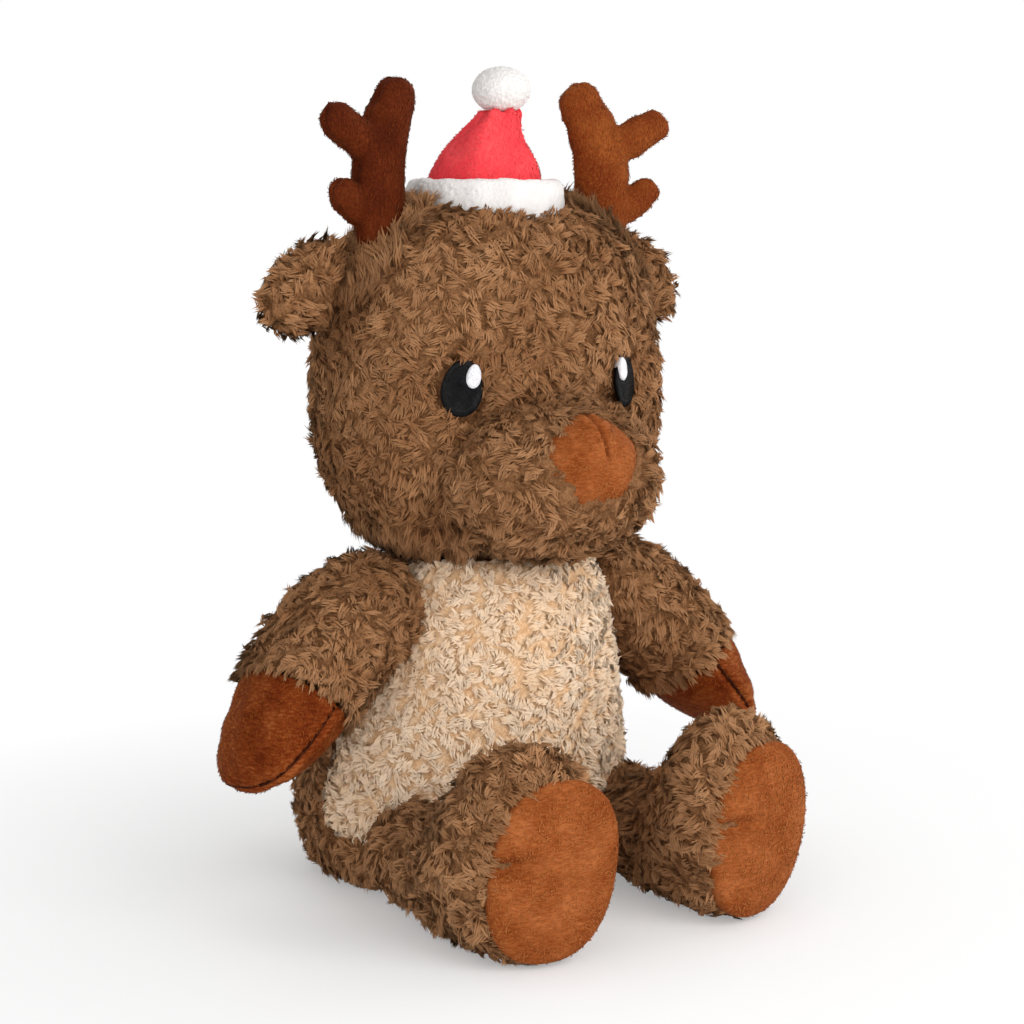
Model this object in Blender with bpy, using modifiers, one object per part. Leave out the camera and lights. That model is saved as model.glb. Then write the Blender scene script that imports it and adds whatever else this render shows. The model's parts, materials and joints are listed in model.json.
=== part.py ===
"""A sitting plush deer with stuffed antlers and a small hat.

Metres, +Z up. The deer faces -Y and sits on the plane z = 0. The skins are sewn shells, the
fillings are solids inside them, and each jointed piece hangs on an empty at its joint.
"""

import math

import bmesh
import bpy
from mathutils import Matrix, Vector

MM = 0.001

# Clearances and cloth thicknesses
SEAM_GAP = 0.3 * MM
SWING_GAP = 0.6 * MM
PILE_WALL = 2.0 * MM
VELOUR_WALL = 1.2 * MM
FLOOR_CUT = 0.5 * MM
OVERRUN = 20 * MM
WELD = 0.003 * MM

# Torso: a pear that leans back towards its seat
TORSO_HEIGHT = 141 * MM
TORSO_HALF_WIDTH = 70 * MM
TORSO_HALF_DEPTH = 63 * MM
TORSO_LEAN = 23 * MM
# Each row: height, half width, half depth, and how far back the ring's centre lies.
TORSO_RING_SHARES = (
    (0.00, 0.78, 0.78, 0.95),
    (0.05, 0.92, 0.92, 0.98),
    (0.17, 0.99, 0.99, 1.00),
    (0.33, 1.00, 1.00, 0.92),
    (0.52, 0.91, 0.90, 0.60),
    (0.70, 0.79, 0.77, 0.25),
    (0.86, 0.71, 0.67, 0.00),
    (0.96, 0.62, 0.59, 0.00),
    (1.00, 0.47, 0.48, 0.00),
)
BELLY_SIDE_SHARE = 0.05
BELLY_BOTTOM = 23 * MM
BELLY_CORNER = 12 * MM

# Pouch of pellets in the seat
POUCH_HALF_WIDTH = 42 * MM
POUCH_HALF_DEPTH = 36 * MM
POUCH_HEIGHT = 18 * MM
# Each row: height and half width.
POUCH_RING_SHARES = ((0.00, 0.55), (0.22, 0.92), (0.50, 1.00), (0.80, 0.88), (1.00, 0.50))

# Head: a wide rounded block
HEAD_HEIGHT = 141 * MM
HEAD_HALF_WIDTH = 73 * MM
HEAD_HALF_DEPTH = 50 * MM
HEAD_SQUARENESS = 2.3
# Each row: height above the neck, half width, half depth.
HEAD_RING_SHARES = (
    (0.00, 0.44, 0.58),
    (0.08, 0.76, 0.84),
    (0.24, 0.98, 0.99),
    (0.45, 1.02, 1.03),
    (0.66, 0.98, 0.99),
    (0.85, 0.82, 0.85),
    (0.95, 0.62, 0.67),
    (1.00, 0.36, 0.44),
)

# Muzzle and nose
MUZZLE_FORWARD = 42 * MM
MUZZLE_HEIGHT = 173.5 * MM
MUZZLE_HALF_WIDTH = 46 * MM
MUZZLE_HALF_HEIGHT = 32 * MM
MUZZLE_REACH = 36 * MM
# Each row: how far forward, and the half width and half height.
MUZZLE_RING_SHARES = (
    (-0.70, 0.80),
    (-0.20, 0.99),
    (0.25, 0.98),
    (0.60, 0.84),
    (0.86, 0.58),
    (1.00, 0.26),
)
NOSE_FORWARD = 67 * MM
NOSE_HEIGHT = 181 * MM
NOSE_HALF_WIDTH = 23 * MM
NOSE_HALF_HEIGHT = 19 * MM
NOSE_REACH = 16 * MM

# Embroidered eyes
EYE_OUT = 39.5 * MM
EYE_HEIGHT = 211 * MM
EYE_HALF_WIDTH = 8.5 * MM
EYE_HALF_HEIGHT = 11 * MM
EYE_PROUD = 1.2 * MM
EYE_DOME = 6 * MM
GLINT_IN = 3.2 * MM
GLINT_UP = 4.6 * MM
GLINT_HALF_WIDTH = 3.0 * MM
GLINT_HALF_HEIGHT = 4.7 * MM
GLINT_PROUD = 0.9 * MM

# Ears: stuffed half discs, each sewn to the side of the head along a straight seam
EAR_BACK = 6 * MM
EAR_HEIGHT_SHARE = 0.766
EAR_LENGTH = 27 * MM
EAR_DROOP = 13 * MM
EAR_HALF_HEIGHT = 19.5 * MM
EAR_HALF_DEPTH = 9 * MM
EAR_SEAT_DEPTH = 7.8 * MM
EAR_SEAT_HALF_HEIGHT = 17.6 * MM
# Each row: distance out from the seam, half height, half thickness.
EAR_RING_SHARES = (
    (-0.22, 0.64, 0.58),
    (0.00, 0.80, 0.66),
    (0.30, 0.97, 0.90),
    (0.62, 1.00, 1.00),
    (0.86, 0.82, 0.80),
    (1.00, 0.46, 0.46),
)

# Antlers: a trunk that ends in the top tine, an outer tine and a low tine
ANTLER_BASE_OUT = 53 * MM
ANTLER_SINK = 11 * MM
ANTLER_TALL = 71 * MM
ANTLER_SPREAD = 31 * MM
ANTLER_TURN = math.radians(15)
ANTLER_FORWARD = 4 * MM
ANTLER_THIN_SHARE = 0.78
TRUNK_RADIUS = 11.8 * MM
OUTER_TINE_RADIUS = 7.8 * MM
LOW_TINE_RADIUS = 7.2 * MM
# Each row: outward, upward and radius, as shares of the spread, the height and the tine's radius.
TRUNK_SHARES = (
    (-0.02, 0.00, 0.84),
    (0.07, 0.32, 1.00),
    (0.07, 0.64, 1.00),
    (-0.22, 0.90, 0.80),
    (-0.38, 1.02, 0.67),
)
OUTER_TINE_SHARES = ((0.05, 0.62, 1.00), (0.60, 0.75, 1.00), (0.97, 0.84, 0.84))
LOW_TINE_SHARES = ((0.02, 0.28, 1.00), (0.52, 0.33, 1.00), (0.82, 0.46, 0.84))

# Hat, cuff and pompom
HAT_BACK = 2 * MM
HAT_LEAN = 12 * MM
CUFF_BOTTOM = 273 * MM
CUFF_TOP = 291 * MM
CUFF_RADIUS = 32 * MM
CUFF_THICK = 7 * MM
CUFF_ROUND_SHARE = 0.30
CUFF_STEPS = 18
CONE_HEIGHT = 46 * MM
# Each row: height above the cuff's foot, radius, and how far the lean has gone.
CONE_RING_SHARES = (
    (0.00, 1.00, 0.00),
    (0.28, 0.98, 0.02),
    (0.42, 0.93, 0.04),
    (0.66, 0.76, 0.16),
    (0.84, 0.49, 0.68),
    (0.93, 0.36, 0.94),
    (1.00, 0.38, 1.00),
)
POMPOM_HALF_WIDTH = 12 * MM
POMPOM_HALF_HEIGHT = 8.5 * MM

# Arms: flat mitten sleeves
SHOULDER_OUT = 44 * MM
SHOULDER_HEIGHT = 120 * MM
SHOULDER_FORWARD = 1 * MM
ARM_OUT = 82 * MM
ARM_FORWARD = 18 * MM
ARM_DOWN = 60 * MM
# How much further each arm hangs down.
ARM_DROP = {"right": math.radians(0), "left": math.radians(5)}
ARM_HALF_WIDTH = 26.5 * MM
ARM_HALF_THICK = 20.5 * MM
# Each row: outward, forward, downward, half width, half thickness.
SLEEVE_SHARES = (
    (0.00, 0.00, -0.06, 0.78, 0.86),
    (0.16, 0.04, -0.03, 0.94, 1.04),
    (0.36, 0.18, 0.12, 1.00, 1.12),
    (0.54, 0.36, 0.33, 1.04, 1.12),
    (0.67, 0.52, 0.52, 1.02, 1.00),
)
PAW_SHARES = (
    (0.80, 0.70, 0.71, 1.00, 0.84),
    (0.93, 0.88, 0.89, 0.86, 0.56),
    (1.01, 1.00, 1.00, 0.48, 0.22),
)

# Legs: short and thick, with a foot turned up at the end
HIP_OUT = 49.5 * MM
HIP_FORWARD = 25.5 * MM
HIP_HEIGHT = 23 * MM
HIP_ROOT = 21.5 * MM
LEG_OUT = 1 * MM
LEG_FORWARD = 88.5 * MM
LEG_RADIUS = 23 * MM
FOOT_HALF_WIDTH = 31 * MM
FOOT_HALF_HEIGHT = 41.5 * MM
FOOT_TURN = math.radians(9)
# Each row: distance along the leg, half width and half height as shares of the leg's radius.
LEG_RING_SHARES = (
    (-0.22, 0.64, 0.64),
    (-0.04, 0.96, 0.955),
    (0.14, 0.75, 0.74),
    (0.30, 1.03, 0.97),
    (0.48, 1.10, 1.02),
)
# Each row: distance along the leg, half width and half height as shares of the foot's.
FOOT_RING_SHARES = ((0.61, 0.90, 0.84), (0.78, 1.01, 1.01), (0.99, 0.91, 0.92))
SOLE_DOME = 6 * MM
SOLE_RING_SHARES = ((0.00, 0.85), (0.62, 0.73), (1.00, 0.36))

# Sides of the coarse cages, of the stretched spheres and of the shoulders' cutters
BODY_SIDES = 10
LIMB_SIDES = 6
TINE_SIDES = 5
EGG_SIDES = 16
EGG_ROWS = 10
GLINT_SIDES = 12
GLINT_ROWS = 8
SHOULDER_SIDES = 24
SHOULDER_STEPS = 16
SHOULDER_LEAN_SHARES = (0, 0.25, 0.5, 0.75, 1)

SIDES = (("right", -1), ("left", 1))

BROWN = "7D583C"
CREAM = "DFBD9C"
RUST = "9F5D35"
ANTLER_RUST = "7A3512"
RED = "F84C50"
WHITE = "EFEBE8"
BLACK = "242424"
GLINT_WHITE = "E6E5E8"
FILLING = "F2F0EA"
LINEN = "D8D2C4"


def linear(channel):
    """The linear value of one sRGB channel."""
    return channel / 12.92 if channel <= 0.04045 else ((channel + 0.055) / 1.055) ** 2.4


def cloth(name, hex_colour, roughness):
    """A Principled material of one cloth."""
    made = bpy.data.materials.new(name)
    made.use_nodes = True
    shader = made.node_tree.nodes["Principled BSDF"]
    channels = [int(hex_colour[i:i + 2], 16) / 255 for i in (0, 2, 4)]
    shader.inputs["Base Color"].default_value = [linear(c) for c in channels] + [1]
    shader.inputs["Roughness"].default_value = roughness
    shader.inputs["Metallic"].default_value = 0
    return made


def clear_scene():
    """Empties the scene and makes the two collections."""
    for old in list(bpy.data.objects):
        bpy.data.objects.remove(old, do_unlink=True)
    collections = []
    for name in ("PlushDeer", "Cutters"):
        made = bpy.data.collections.new(name)
        bpy.context.scene.collection.children.link(made)
        collections.append(made)
    return collections


def add_empty(name, place, parent=None):
    """An empty at a joint."""
    made = bpy.data.objects.new(name, None)
    PARTS.objects.link(made)
    made.location = place
    made.parent = parent
    bpy.context.view_layer.update()
    return made


def add_piece(name, mesh, material, pivot):
    """A named piece that hangs on its pivot, with its mesh given in the deer's frame."""
    made = bpy.data.objects.new(name, mesh)
    PARTS.objects.link(made)
    mesh.materials.clear()
    mesh.materials.append(material)
    mesh.shade_smooth()
    made.parent = pivot
    made.matrix_parent_inverse = pivot.matrix_world.inverted()
    return made


def add_cutter(name, mesh, pivot):
    """A helper that only cuts."""
    made = bpy.data.objects.new(name, mesh)
    CUTTERS.objects.link(made)
    made.hide_render = True
    made.display_type = "WIRE"
    made.parent = pivot
    made.matrix_parent_inverse = pivot.matrix_world.inverted()
    return made


def ring(centre, direction, across, half_across, half_other, sides, power=2.0):
    """A ring of cage points round a centre, wide enough that the smoothed ring has the given halves."""
    gain = 3 / (2 + math.cos(math.tau / sides))
    direction = direction.normalized()
    across = (across - direction * across.dot(direction)).normalized()
    other = direction.cross(across)
    points = []
    for step in range(sides):
        angle = math.tau * step / sides
        u, v = math.cos(angle), math.sin(angle)
        u = math.copysign(abs(u) ** (2 / power), u)
        v = math.copysign(abs(v) ** (2 / power), v)
        points.append(centre + gain * (across * half_across * u + other * half_other * v))
    return points


def cage(name, rings, close_start=True, close_end=True, flat_start=False, flat_end=False):
    """A tube of quads through the rings, with or without its end faces, which may stay flat when smoothed."""
    mesh = bpy.data.meshes.new(name)
    sides = len(rings[0])
    points = [point for one in rings for point in one]
    faces = []
    for row in range(len(rings) - 1):
        for step in range(sides):
            here, there = row * sides, (row + 1) * sides
            after = (step + 1) % sides
            faces.append((here + step, here + after, there + after, there + step))
    if close_start:
        faces.append(tuple(reversed(range(sides))))
    if close_end:
        last = (len(rings) - 1) * sides
        faces.append(tuple(range(last, last + sides)))
    mesh.from_pydata(points, [], faces)
    crease = mesh.attributes.new("crease_edge", "FLOAT", "EDGE")
    first_end, last_start = sides, (len(rings) - 1) * sides
    for edge in mesh.edges:
        low, high = min(edge.vertices), max(edge.vertices)
        if (flat_start and high < first_end) or (flat_end and low >= last_start):
            crease.data[edge.index].value = 1
    return mesh


def rings_along(places, halves, across, sides):
    """Rings square to a path, where across is the direction of the first half size."""
    rings = []
    for i, place in enumerate(places):
        before = places[max(i - 1, 0)]
        after = places[min(i + 1, len(places) - 1)]
        rings.append(ring(place, after - before, across, halves[i][0], halves[i][1], sides))
    return rings


def smooth(piece, levels=1):
    """Subdivision Surface."""
    made = piece.modifiers.new("Smooth", "SUBSURF")
    made.levels = levels
    made.render_levels = levels


def thicken(piece, wall):
    """Gives an open skin its thickness, inwards."""
    made = piece.modifiers.new("Cloth", "SOLIDIFY")
    made.thickness = wall
    made.offset = -1


def grow(piece, distance):
    """Moves every face out by a distance, or in where it is negative."""
    made = piece.modifiers.new("Grow", "DISPLACE")
    made.strength = distance
    made.mid_level = 0


def cut(piece, cutter, operation="DIFFERENCE"):
    """Boolean with a cutter."""
    made = piece.modifiers.new(cutter.name, "BOOLEAN")
    made.operation = operation
    made.object = cutter
    made.solver = "EXACT"


def settled_mesh(piece):
    """The mesh of a piece with its modifiers applied."""
    bpy.context.view_layer.update()
    graph = bpy.context.evaluated_depsgraph_get()
    return bpy.data.meshes.new_from_object(piece.evaluated_get(graph))


def turned(name, profile, centre):
    """A closed ring turned round the upright line through a centre, from (radius, height) points."""
    bm = bmesh.new()
    points = [bm.verts.new((radius, 0, height)) for radius, height in profile]
    for start, end in zip(points, points[1:] + points[:1]):
        bm.edges.new((start, end))
    mesh = bpy.data.meshes.new(name)
    bm.to_mesh(mesh)
    bm.free()
    mesh.transform(Matrix.Translation(centre))
    return mesh


def block(name, low, high, pivot):
    """A box cutter between two corners."""
    bm = bmesh.new()
    bmesh.ops.create_cube(bm, size=1)
    size = high - low
    bmesh.ops.scale(bm, vec=size, verts=bm.verts)
    bmesh.ops.translate(bm, vec=(low + high) / 2, verts=bm.verts)
    mesh = bpy.data.meshes.new(name)
    bm.to_mesh(mesh)
    bm.free()
    return add_cutter(name, mesh, pivot)


def egg(name, centre, halves, turn=None, sides=EGG_SIDES, rows=EGG_ROWS):
    """A stretched sphere, turned before it is placed."""
    bm = bmesh.new()
    bmesh.ops.create_uvsphere(bm, u_segments=sides, v_segments=rows, radius=1)
    place = Matrix.Translation(centre) @ (turn or Matrix.Identity(4)) @ Matrix.Diagonal((*halves, 1))
    bmesh.ops.transform(bm, matrix=place, verts=bm.verts)
    mesh = bpy.data.meshes.new(name)
    bm.to_mesh(mesh)
    bm.free()
    return mesh


def on_surface(form, start, direction):
    """Where a line first meets a form, and the form's normal there."""
    bpy.context.view_layer.update()
    graph = bpy.context.evaluated_depsgraph_get()
    back = form.matrix_world.inverted()
    hit, place, normal, _ = form.evaluated_get(graph).ray_cast(back @ start, direction)
    if not hit:
        raise ValueError(form.name + " is missed by the line that places a piece on it")
    return form.matrix_world @ place, normal


def torso_rings(bottom, top):
    """Rings of the torso between two heights' clearances."""
    rings = []
    for height, width, depth, lean in TORSO_RING_SHARES:
        z = height * TORSO_HEIGHT
        z = max(min(z, TORSO_HEIGHT - top), -bottom)
        centre = Vector((0, lean * TORSO_LEAN, z))
        if height == 0:
            centre.z = -bottom
        rings.append(ring(centre, Vector((0, 0, 1)), Vector((1, 0, 0)),
                          width * TORSO_HALF_WIDTH, depth * TORSO_HALF_DEPTH, BODY_SIDES))
    return rings


def belly_line(inset):
    """The belly panel's edge from the side: (y, z) points from the crotch up the side seam to the neck."""
    bottom = BELLY_BOTTOM + inset
    points = []
    for height, _, depth, lean in TORSO_RING_SHARES:
        z = height * TORSO_HEIGHT
        if z > bottom + BELLY_CORNER:
            side = lean * TORSO_LEAN - BELLY_SIDE_SHARE * depth * TORSO_HALF_DEPTH - inset
            points.append((side, z))
    points[-1] = (points[-1][0], points[-1][1] + OVERRUN)
    corner = points[0][0]
    front = -(TORSO_HALF_DEPTH + OVERRUN)
    bend = BELLY_CORNER * (1 - math.sqrt(0.5))
    foot = [(corner - BELLY_CORNER, bottom), (corner - bend, bottom + bend)]
    return [(front, bottom)] + foot + points + [(front, points[-1][1])]


def belly_block(name, inset):
    """Everything in front of the belly panel's edge, as an outline drawn from the side."""
    curve = bpy.data.curves.new(name, "CURVE")
    curve.dimensions = "2D"
    curve.fill_mode = "BOTH"
    curve.extrude = TORSO_HALF_WIDTH + OVERRUN
    outline = belly_line(inset)
    spline = curve.splines.new("POLY")
    spline.points.add(len(outline) - 1)
    for point, (y, z) in zip(spline.points, outline):
        point.co = (y, z, 0, 1)
    spline.use_cyclic_u = True
    guide = bpy.data.objects.new(name, curve)
    CUTTERS.objects.link(guide)
    mesh = settled_mesh(guide)
    bpy.data.objects.remove(guide, do_unlink=True)
    bm = bmesh.new()
    bm.from_mesh(mesh)
    bmesh.ops.remove_doubles(bm, verts=bm.verts, dist=WELD)
    # The curve's x, y and z become the deer's y, z and x.
    axes = Matrix(((0, 0, 1, 0), (1, 0, 0, 0), (0, 1, 0, 0), (0, 0, 0, 1)))
    bmesh.ops.transform(bm, matrix=axes, verts=bm.verts)
    bmesh.ops.recalc_face_normals(bm, faces=bm.faces)
    bm.to_mesh(mesh)
    bm.free()
    return add_cutter(name, mesh, ROOT)


def make_torso(sockets):
    """Back skin, belly panel, filling and pellet pouch."""
    low = Vector((-TORSO_HEIGHT, -TORSO_HEIGHT, -TORSO_HEIGHT))
    floor = block("floor_cut", low, Vector((TORSO_HEIGHT, TORSO_HEIGHT, 0)), ROOT)
    rings = torso_rings(FLOOR_CUT, SEAM_GAP / 2)
    skin = cage("body_skin", rings, close_end=False)
    back = add_piece("body_skin", skin, PILE, ROOT)
    belly = add_piece("belly_panel", skin.copy(), BELLY_PILE, ROOT)
    for piece in (back, belly):
        smooth(piece)
        thicken(piece, PILE_WALL)
        cut(piece, floor)
    cut(back, belly_block("belly_cut", -SEAM_GAP / 2))
    cut(belly, belly_block("belly_keep", SEAM_GAP / 2), "INTERSECT")
    filling = add_piece("body_filling", cage("body_filling", rings, flat_end=True), FILL, ROOT)
    smooth(filling)
    grow(filling, -(PILE_WALL + SEAM_GAP))
    pouch_top = FLOOR_CUT + PILE_WALL + POUCH_HEIGHT + 2 * SEAM_GAP
    cut(filling, block("pouch_room", low, Vector((TORSO_HEIGHT, TORSO_HEIGHT, pouch_top)), ROOT))
    for piece in (back, belly, filling):
        for socket in sockets:
            cut(piece, socket)
    make_pouch()
    return back


def make_pouch():
    """A cloth bag of pellets that gives the seat its weight."""
    rings = []
    for height, width in POUCH_RING_SHARES:
        z = PILE_WALL + SEAM_GAP + height * POUCH_HEIGHT
        rings.append(ring(Vector((0, TORSO_LEAN, z)), Vector((0, 0, 1)), Vector((1, 0, 0)),
                          width * POUCH_HALF_WIDTH, width * POUCH_HALF_DEPTH, LIMB_SIDES))
    smooth(add_piece("pellet_pouch", cage("pellet_pouch", rings), POUCH_CLOTH, ROOT))


def head_rings():
    """Rings of the head, from the neck to the crown."""
    rings = []
    for height, width, depth in HEAD_RING_SHARES:
        z = TORSO_HEIGHT + SEAM_GAP / 2 + height * HEAD_HEIGHT
        rings.append(ring(Vector((0, 0, z)), Vector((0, 0, 1)), Vector((1, 0, 0)),
                          width * HEAD_HALF_WIDTH, depth * HEAD_HALF_DEPTH, BODY_SIDES, HEAD_SQUARENESS))
    return rings


def make_head(neck):
    """Head skin, its filling, and the head's outer form as a cutter for what is sewn on it."""
    rings = head_rings()
    form = add_cutter("head_form", cage("head_form", rings, flat_start=True), neck)
    smooth(form)
    grow(form, SEAM_GAP)
    skin = add_piece("head_skin", cage("head_skin", rings, close_start=False), PILE, neck)
    smooth(skin)
    thicken(skin, PILE_WALL)
    filling = add_piece("head_filling", cage("head_filling", rings, flat_start=True), FILL, neck)
    smooth(filling)
    grow(filling, -(PILE_WALL + SEAM_GAP))
    return form, skin, filling


def muzzle_cage(name):
    """The muzzle's rings run forward out of the face."""
    rings = []
    for forward, size in MUZZLE_RING_SHARES:
        centre = Vector((0, -MUZZLE_FORWARD - forward * MUZZLE_REACH, MUZZLE_HEIGHT))
        rings.append(ring(centre, Vector((0, -1, 0)), Vector((1, 0, 0)),
                          size * MUZZLE_HALF_WIDTH, size * MUZZLE_HALF_HEIGHT, BODY_SIDES))
    return cage(name, rings)


def make_muzzle(neck, head_form):
    """The stuffed muzzle on the face, and the nose on the muzzle."""
    muzzle = add_piece("muzzle", muzzle_cage("muzzle"), PILE, neck)
    smooth(muzzle)
    cut(muzzle, head_form)
    form = add_cutter("muzzle_form", muzzle_cage("muzzle_form"), neck)
    smooth(form)
    grow(form, SEAM_GAP)
    halves = (NOSE_HALF_WIDTH, NOSE_REACH, NOSE_HALF_HEIGHT)
    nose = add_piece("nose", egg("nose", Vector((0, -NOSE_FORWARD, NOSE_HEIGHT)), halves), SHORT_PILE, neck)
    cut(nose, form)


def make_eyes(neck, head_form):
    """Embroidered oval eyes, each with a white glint on its nose side."""
    for side, sign in SIDES:
        start = Vector((sign * EYE_OUT, -(HEAD_HALF_DEPTH + OVERRUN), EYE_HEIGHT))
        place, normal = on_surface(head_form, start, Vector((0, 1, 0)))
        turn = normal.to_track_quat("Y", "Z").to_matrix().to_4x4()
        depth = EYE_DOME - EYE_PROUD
        rim = math.sqrt(1 - (depth / EYE_DOME) ** 2)
        halves = (EYE_HALF_WIDTH / rim, EYE_DOME, EYE_HALF_HEIGHT / rim)
        eye = add_piece("eye_" + side, egg("eye", place - normal * depth, halves, turn), THREAD, neck)
        cut(eye, head_form)
        grown = [half + SEAM_GAP for half in halves]
        form = add_cutter("eye_form_" + side, egg("eye_form", place - normal * depth, grown, turn), neck)
        inward = turn @ Vector((sign * GLINT_IN, 0, 0))
        upward = turn @ Vector((0, 0, GLINT_UP))
        glint_place = place + inward + upward - normal * (EYE_DOME - EYE_PROUD - GLINT_PROUD)
        glint_halves = (GLINT_HALF_WIDTH / rim, EYE_DOME, GLINT_HALF_HEIGHT / rim)
        oval = egg("glint", glint_place, glint_halves, turn, GLINT_SIDES, GLINT_ROWS)
        glint = add_piece("eye_glint_" + side, oval, GLINT_THREAD, neck)
        cut(glint, form)
        cut(glint, head_form)


def make_ears(neck, head_form):
    """Soft ears that flap on their seams. Returns the cutters of their seats."""
    seats = []
    for side, sign in SIDES:
        seam_height = TORSO_HEIGHT + EAR_HEIGHT_SHARE * HEAD_HEIGHT
        start = Vector((sign * (HEAD_HALF_WIDTH + OVERRUN), EAR_BACK, seam_height))
        root, normal = on_surface(head_form, start, Vector((-sign, 0, 0)))
        out = Vector((normal.x, 0, normal.z)).normalized()
        up = Vector((-sign * out.z, 0, abs(out.x)))
        pivot = add_empty("ear_pivot_" + side, root - neck.matrix_world.translation, neck)
        rings = []
        for along, tall, thick in EAR_RING_SHARES:
            centre = root + out * (along * EAR_LENGTH) - up * (along * EAR_DROOP)
            rings.append(ring(centre, out, up, tall * EAR_HALF_HEIGHT, thick * EAR_HALF_DEPTH, LIMB_SIDES))
        smooth(add_piece("ear_" + side, cage("ear_" + side, rings), PILE, pivot))
        turn = up.to_track_quat("Z", "Y").to_matrix().to_4x4()
        halves = (EAR_SEAT_DEPTH, EAR_SEAT_DEPTH, EAR_SEAT_HALF_HEIGHT)
        seats.append(add_cutter("ear_seat_" + side, egg("ear_seat", root, halves, turn), neck))
    return seats


def tine(name, base, sign, shares, radius, inset, behind):
    """One stuffed tube of an antler, along its table of shares, begun some way behind its root."""
    places = []
    halves = []
    turn = Matrix.Rotation(-sign * ANTLER_TURN, 3, "Z")
    for out, up, size in shares:
        places.append(base + turn @ Vector((sign * out * ANTLER_SPREAD, 0, up * ANTLER_TALL)))
        half = size * radius - inset
        halves.append((half, half * ANTLER_THIN_SHARE))
    # The end ring is drawn back by the inset, so that the wall is as thick at the tip.
    last = places[-1] - places[-2]
    places[-1] = places[-1] - last.normalized() * inset
    places[0] = places[0] - (places[1] - places[0]).normalized() * behind
    return cage(name, rings_along(places, halves, turn @ Vector((sign, 0, 0)), TINE_SIDES))


def antler_form(name, neck, base, sign, inset, behind, make):
    """The three tubes of an antler joined into one."""
    trunk = make(name, tine(name, base, sign, TRUNK_SHARES, TRUNK_RADIUS, inset, behind))
    smooth(trunk)
    branches = (("outer", OUTER_TINE_SHARES, OUTER_TINE_RADIUS), ("low", LOW_TINE_SHARES, LOW_TINE_RADIUS))
    for label, shares, radius in branches:
        branch = add_cutter(name + "_" + label, tine(name, base, sign, shares, radius, inset, 0), neck)
        smooth(branch)
        cut(trunk, branch, "UNION")
    return trunk


def make_antlers(neck, head_form):
    """Antler skins with their filling, sewn on the crown."""
    for side, sign in SIDES:
        start = Vector((sign * ANTLER_BASE_OUT, -ANTLER_FORWARD, TORSO_HEIGHT + 2 * HEAD_HEIGHT))
        crown, _ = on_surface(head_form, start, Vector((0, 0, -1)))
        base = crown - Vector((0, 0, ANTLER_SINK))
        skin = antler_form("antler_" + side, neck, base, sign, 0, 0,
                           lambda name, mesh: add_piece(name, mesh, ANTLER_PILE, neck))
        hollow = antler_form("antler_hollow_" + side, neck, base, sign, VELOUR_WALL, VELOUR_WALL,
                             lambda name, mesh: add_cutter(name, mesh, neck))
        filling = antler_form("antler_filling_" + side, neck, base, sign, VELOUR_WALL + SEAM_GAP, 0,
                              lambda name, mesh: add_piece(name, mesh, FILL, neck))
        cut(skin, hollow)
        cut(skin, head_form)
        cut(filling, head_form)


def cone_rings(inset, foot):
    """Rings of the hat's cone, whose tip leans forward."""
    base = CUFF_RADIUS - CUFF_THICK - SEAM_GAP
    rings = []
    for height, width, lean in CONE_RING_SHARES:
        z = foot + height * (CONE_HEIGHT - inset)
        centre = Vector((0, HAT_BACK - lean * HAT_LEAN, z))
        half = width * base - inset
        rings.append(ring(centre, Vector((0, 0, 1)), Vector((1, 0, 0)), half, half, LIMB_SIDES))
    return rings


def make_hat(neck, head_form):
    """Rolled cuff, cone, the cone's filling and the pompom."""
    thick = CUFF_THICK / 2
    middle = CUFF_RADIUS - thick
    soft = thick * CUFF_ROUND_SHARE
    outline = (
        (middle + thick, CUFF_TOP - 2 * soft),
        (middle + thick, CUFF_BOTTOM),
        (middle - thick, CUFF_BOTTOM),
        (middle - thick, CUFF_TOP - soft),
        (middle - thick + soft, CUFF_TOP),
        (middle + thick - 2 * soft, CUFF_TOP),
    )
    cuff = add_piece("hat_cuff", turned("hat_cuff", outline, Vector((0, 0, 0))), WHITE_PILE, neck)
    cuff.location.y = HAT_BACK
    spin = cuff.modifiers.new("Turn", "SCREW")
    spin.steps = CUFF_STEPS
    spin.render_steps = CUFF_STEPS
    spin.use_merge_vertices = False
    weld = cuff.modifiers.new("Weld", "WELD")
    weld.merge_threshold = WELD
    cut(cuff, head_form)
    cone_cage = cage("hat_cone", cone_rings(0, CUFF_BOTTOM), close_start=False)
    cone = add_piece("hat_cone", cone_cage, HAT_VELOUR, neck)
    smooth(cone)
    thicken(cone, VELOUR_WALL)
    cut(cone, head_form)
    inset = VELOUR_WALL + SEAM_GAP
    filling = add_piece("hat_filling", cage("hat_filling", cone_rings(inset, CUFF_BOTTOM)), FILL, neck)
    smooth(filling)
    cut(filling, head_form)
    tip = CUFF_BOTTOM + CONE_HEIGHT
    centre = Vector((0, HAT_BACK - HAT_LEAN, tip + SEAM_GAP + POMPOM_HALF_HEIGHT))
    halves = (POMPOM_HALF_WIDTH, POMPOM_HALF_WIDTH, POMPOM_HALF_HEIGHT)
    add_piece("pompom", egg("pompom", centre, halves), WHITE_PILE, neck)


def shoulder_profile(sign, torso, shoulder, reach):
    """How far out the torso lies at each distance below the arm's swing axis, as (out, distance)."""
    profile = []
    widest = 0
    for step in range(SHOULDER_STEPS + 1):
        radius = reach * step / SHOULDER_STEPS
        z = max(shoulder.z - radius, PILE_WALL)
        for lean in SHOULDER_LEAN_SHARES:
            start = Vector((sign * (TORSO_HALF_WIDTH + OVERRUN), lean * TORSO_LEAN, z))
            place, _ = on_surface(torso, start, Vector((-sign, 0, 0)))
            widest = max(widest, abs(place.x))
        profile.append((widest + SWING_GAP, max(radius, SEAM_GAP)))
    return profile


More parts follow.
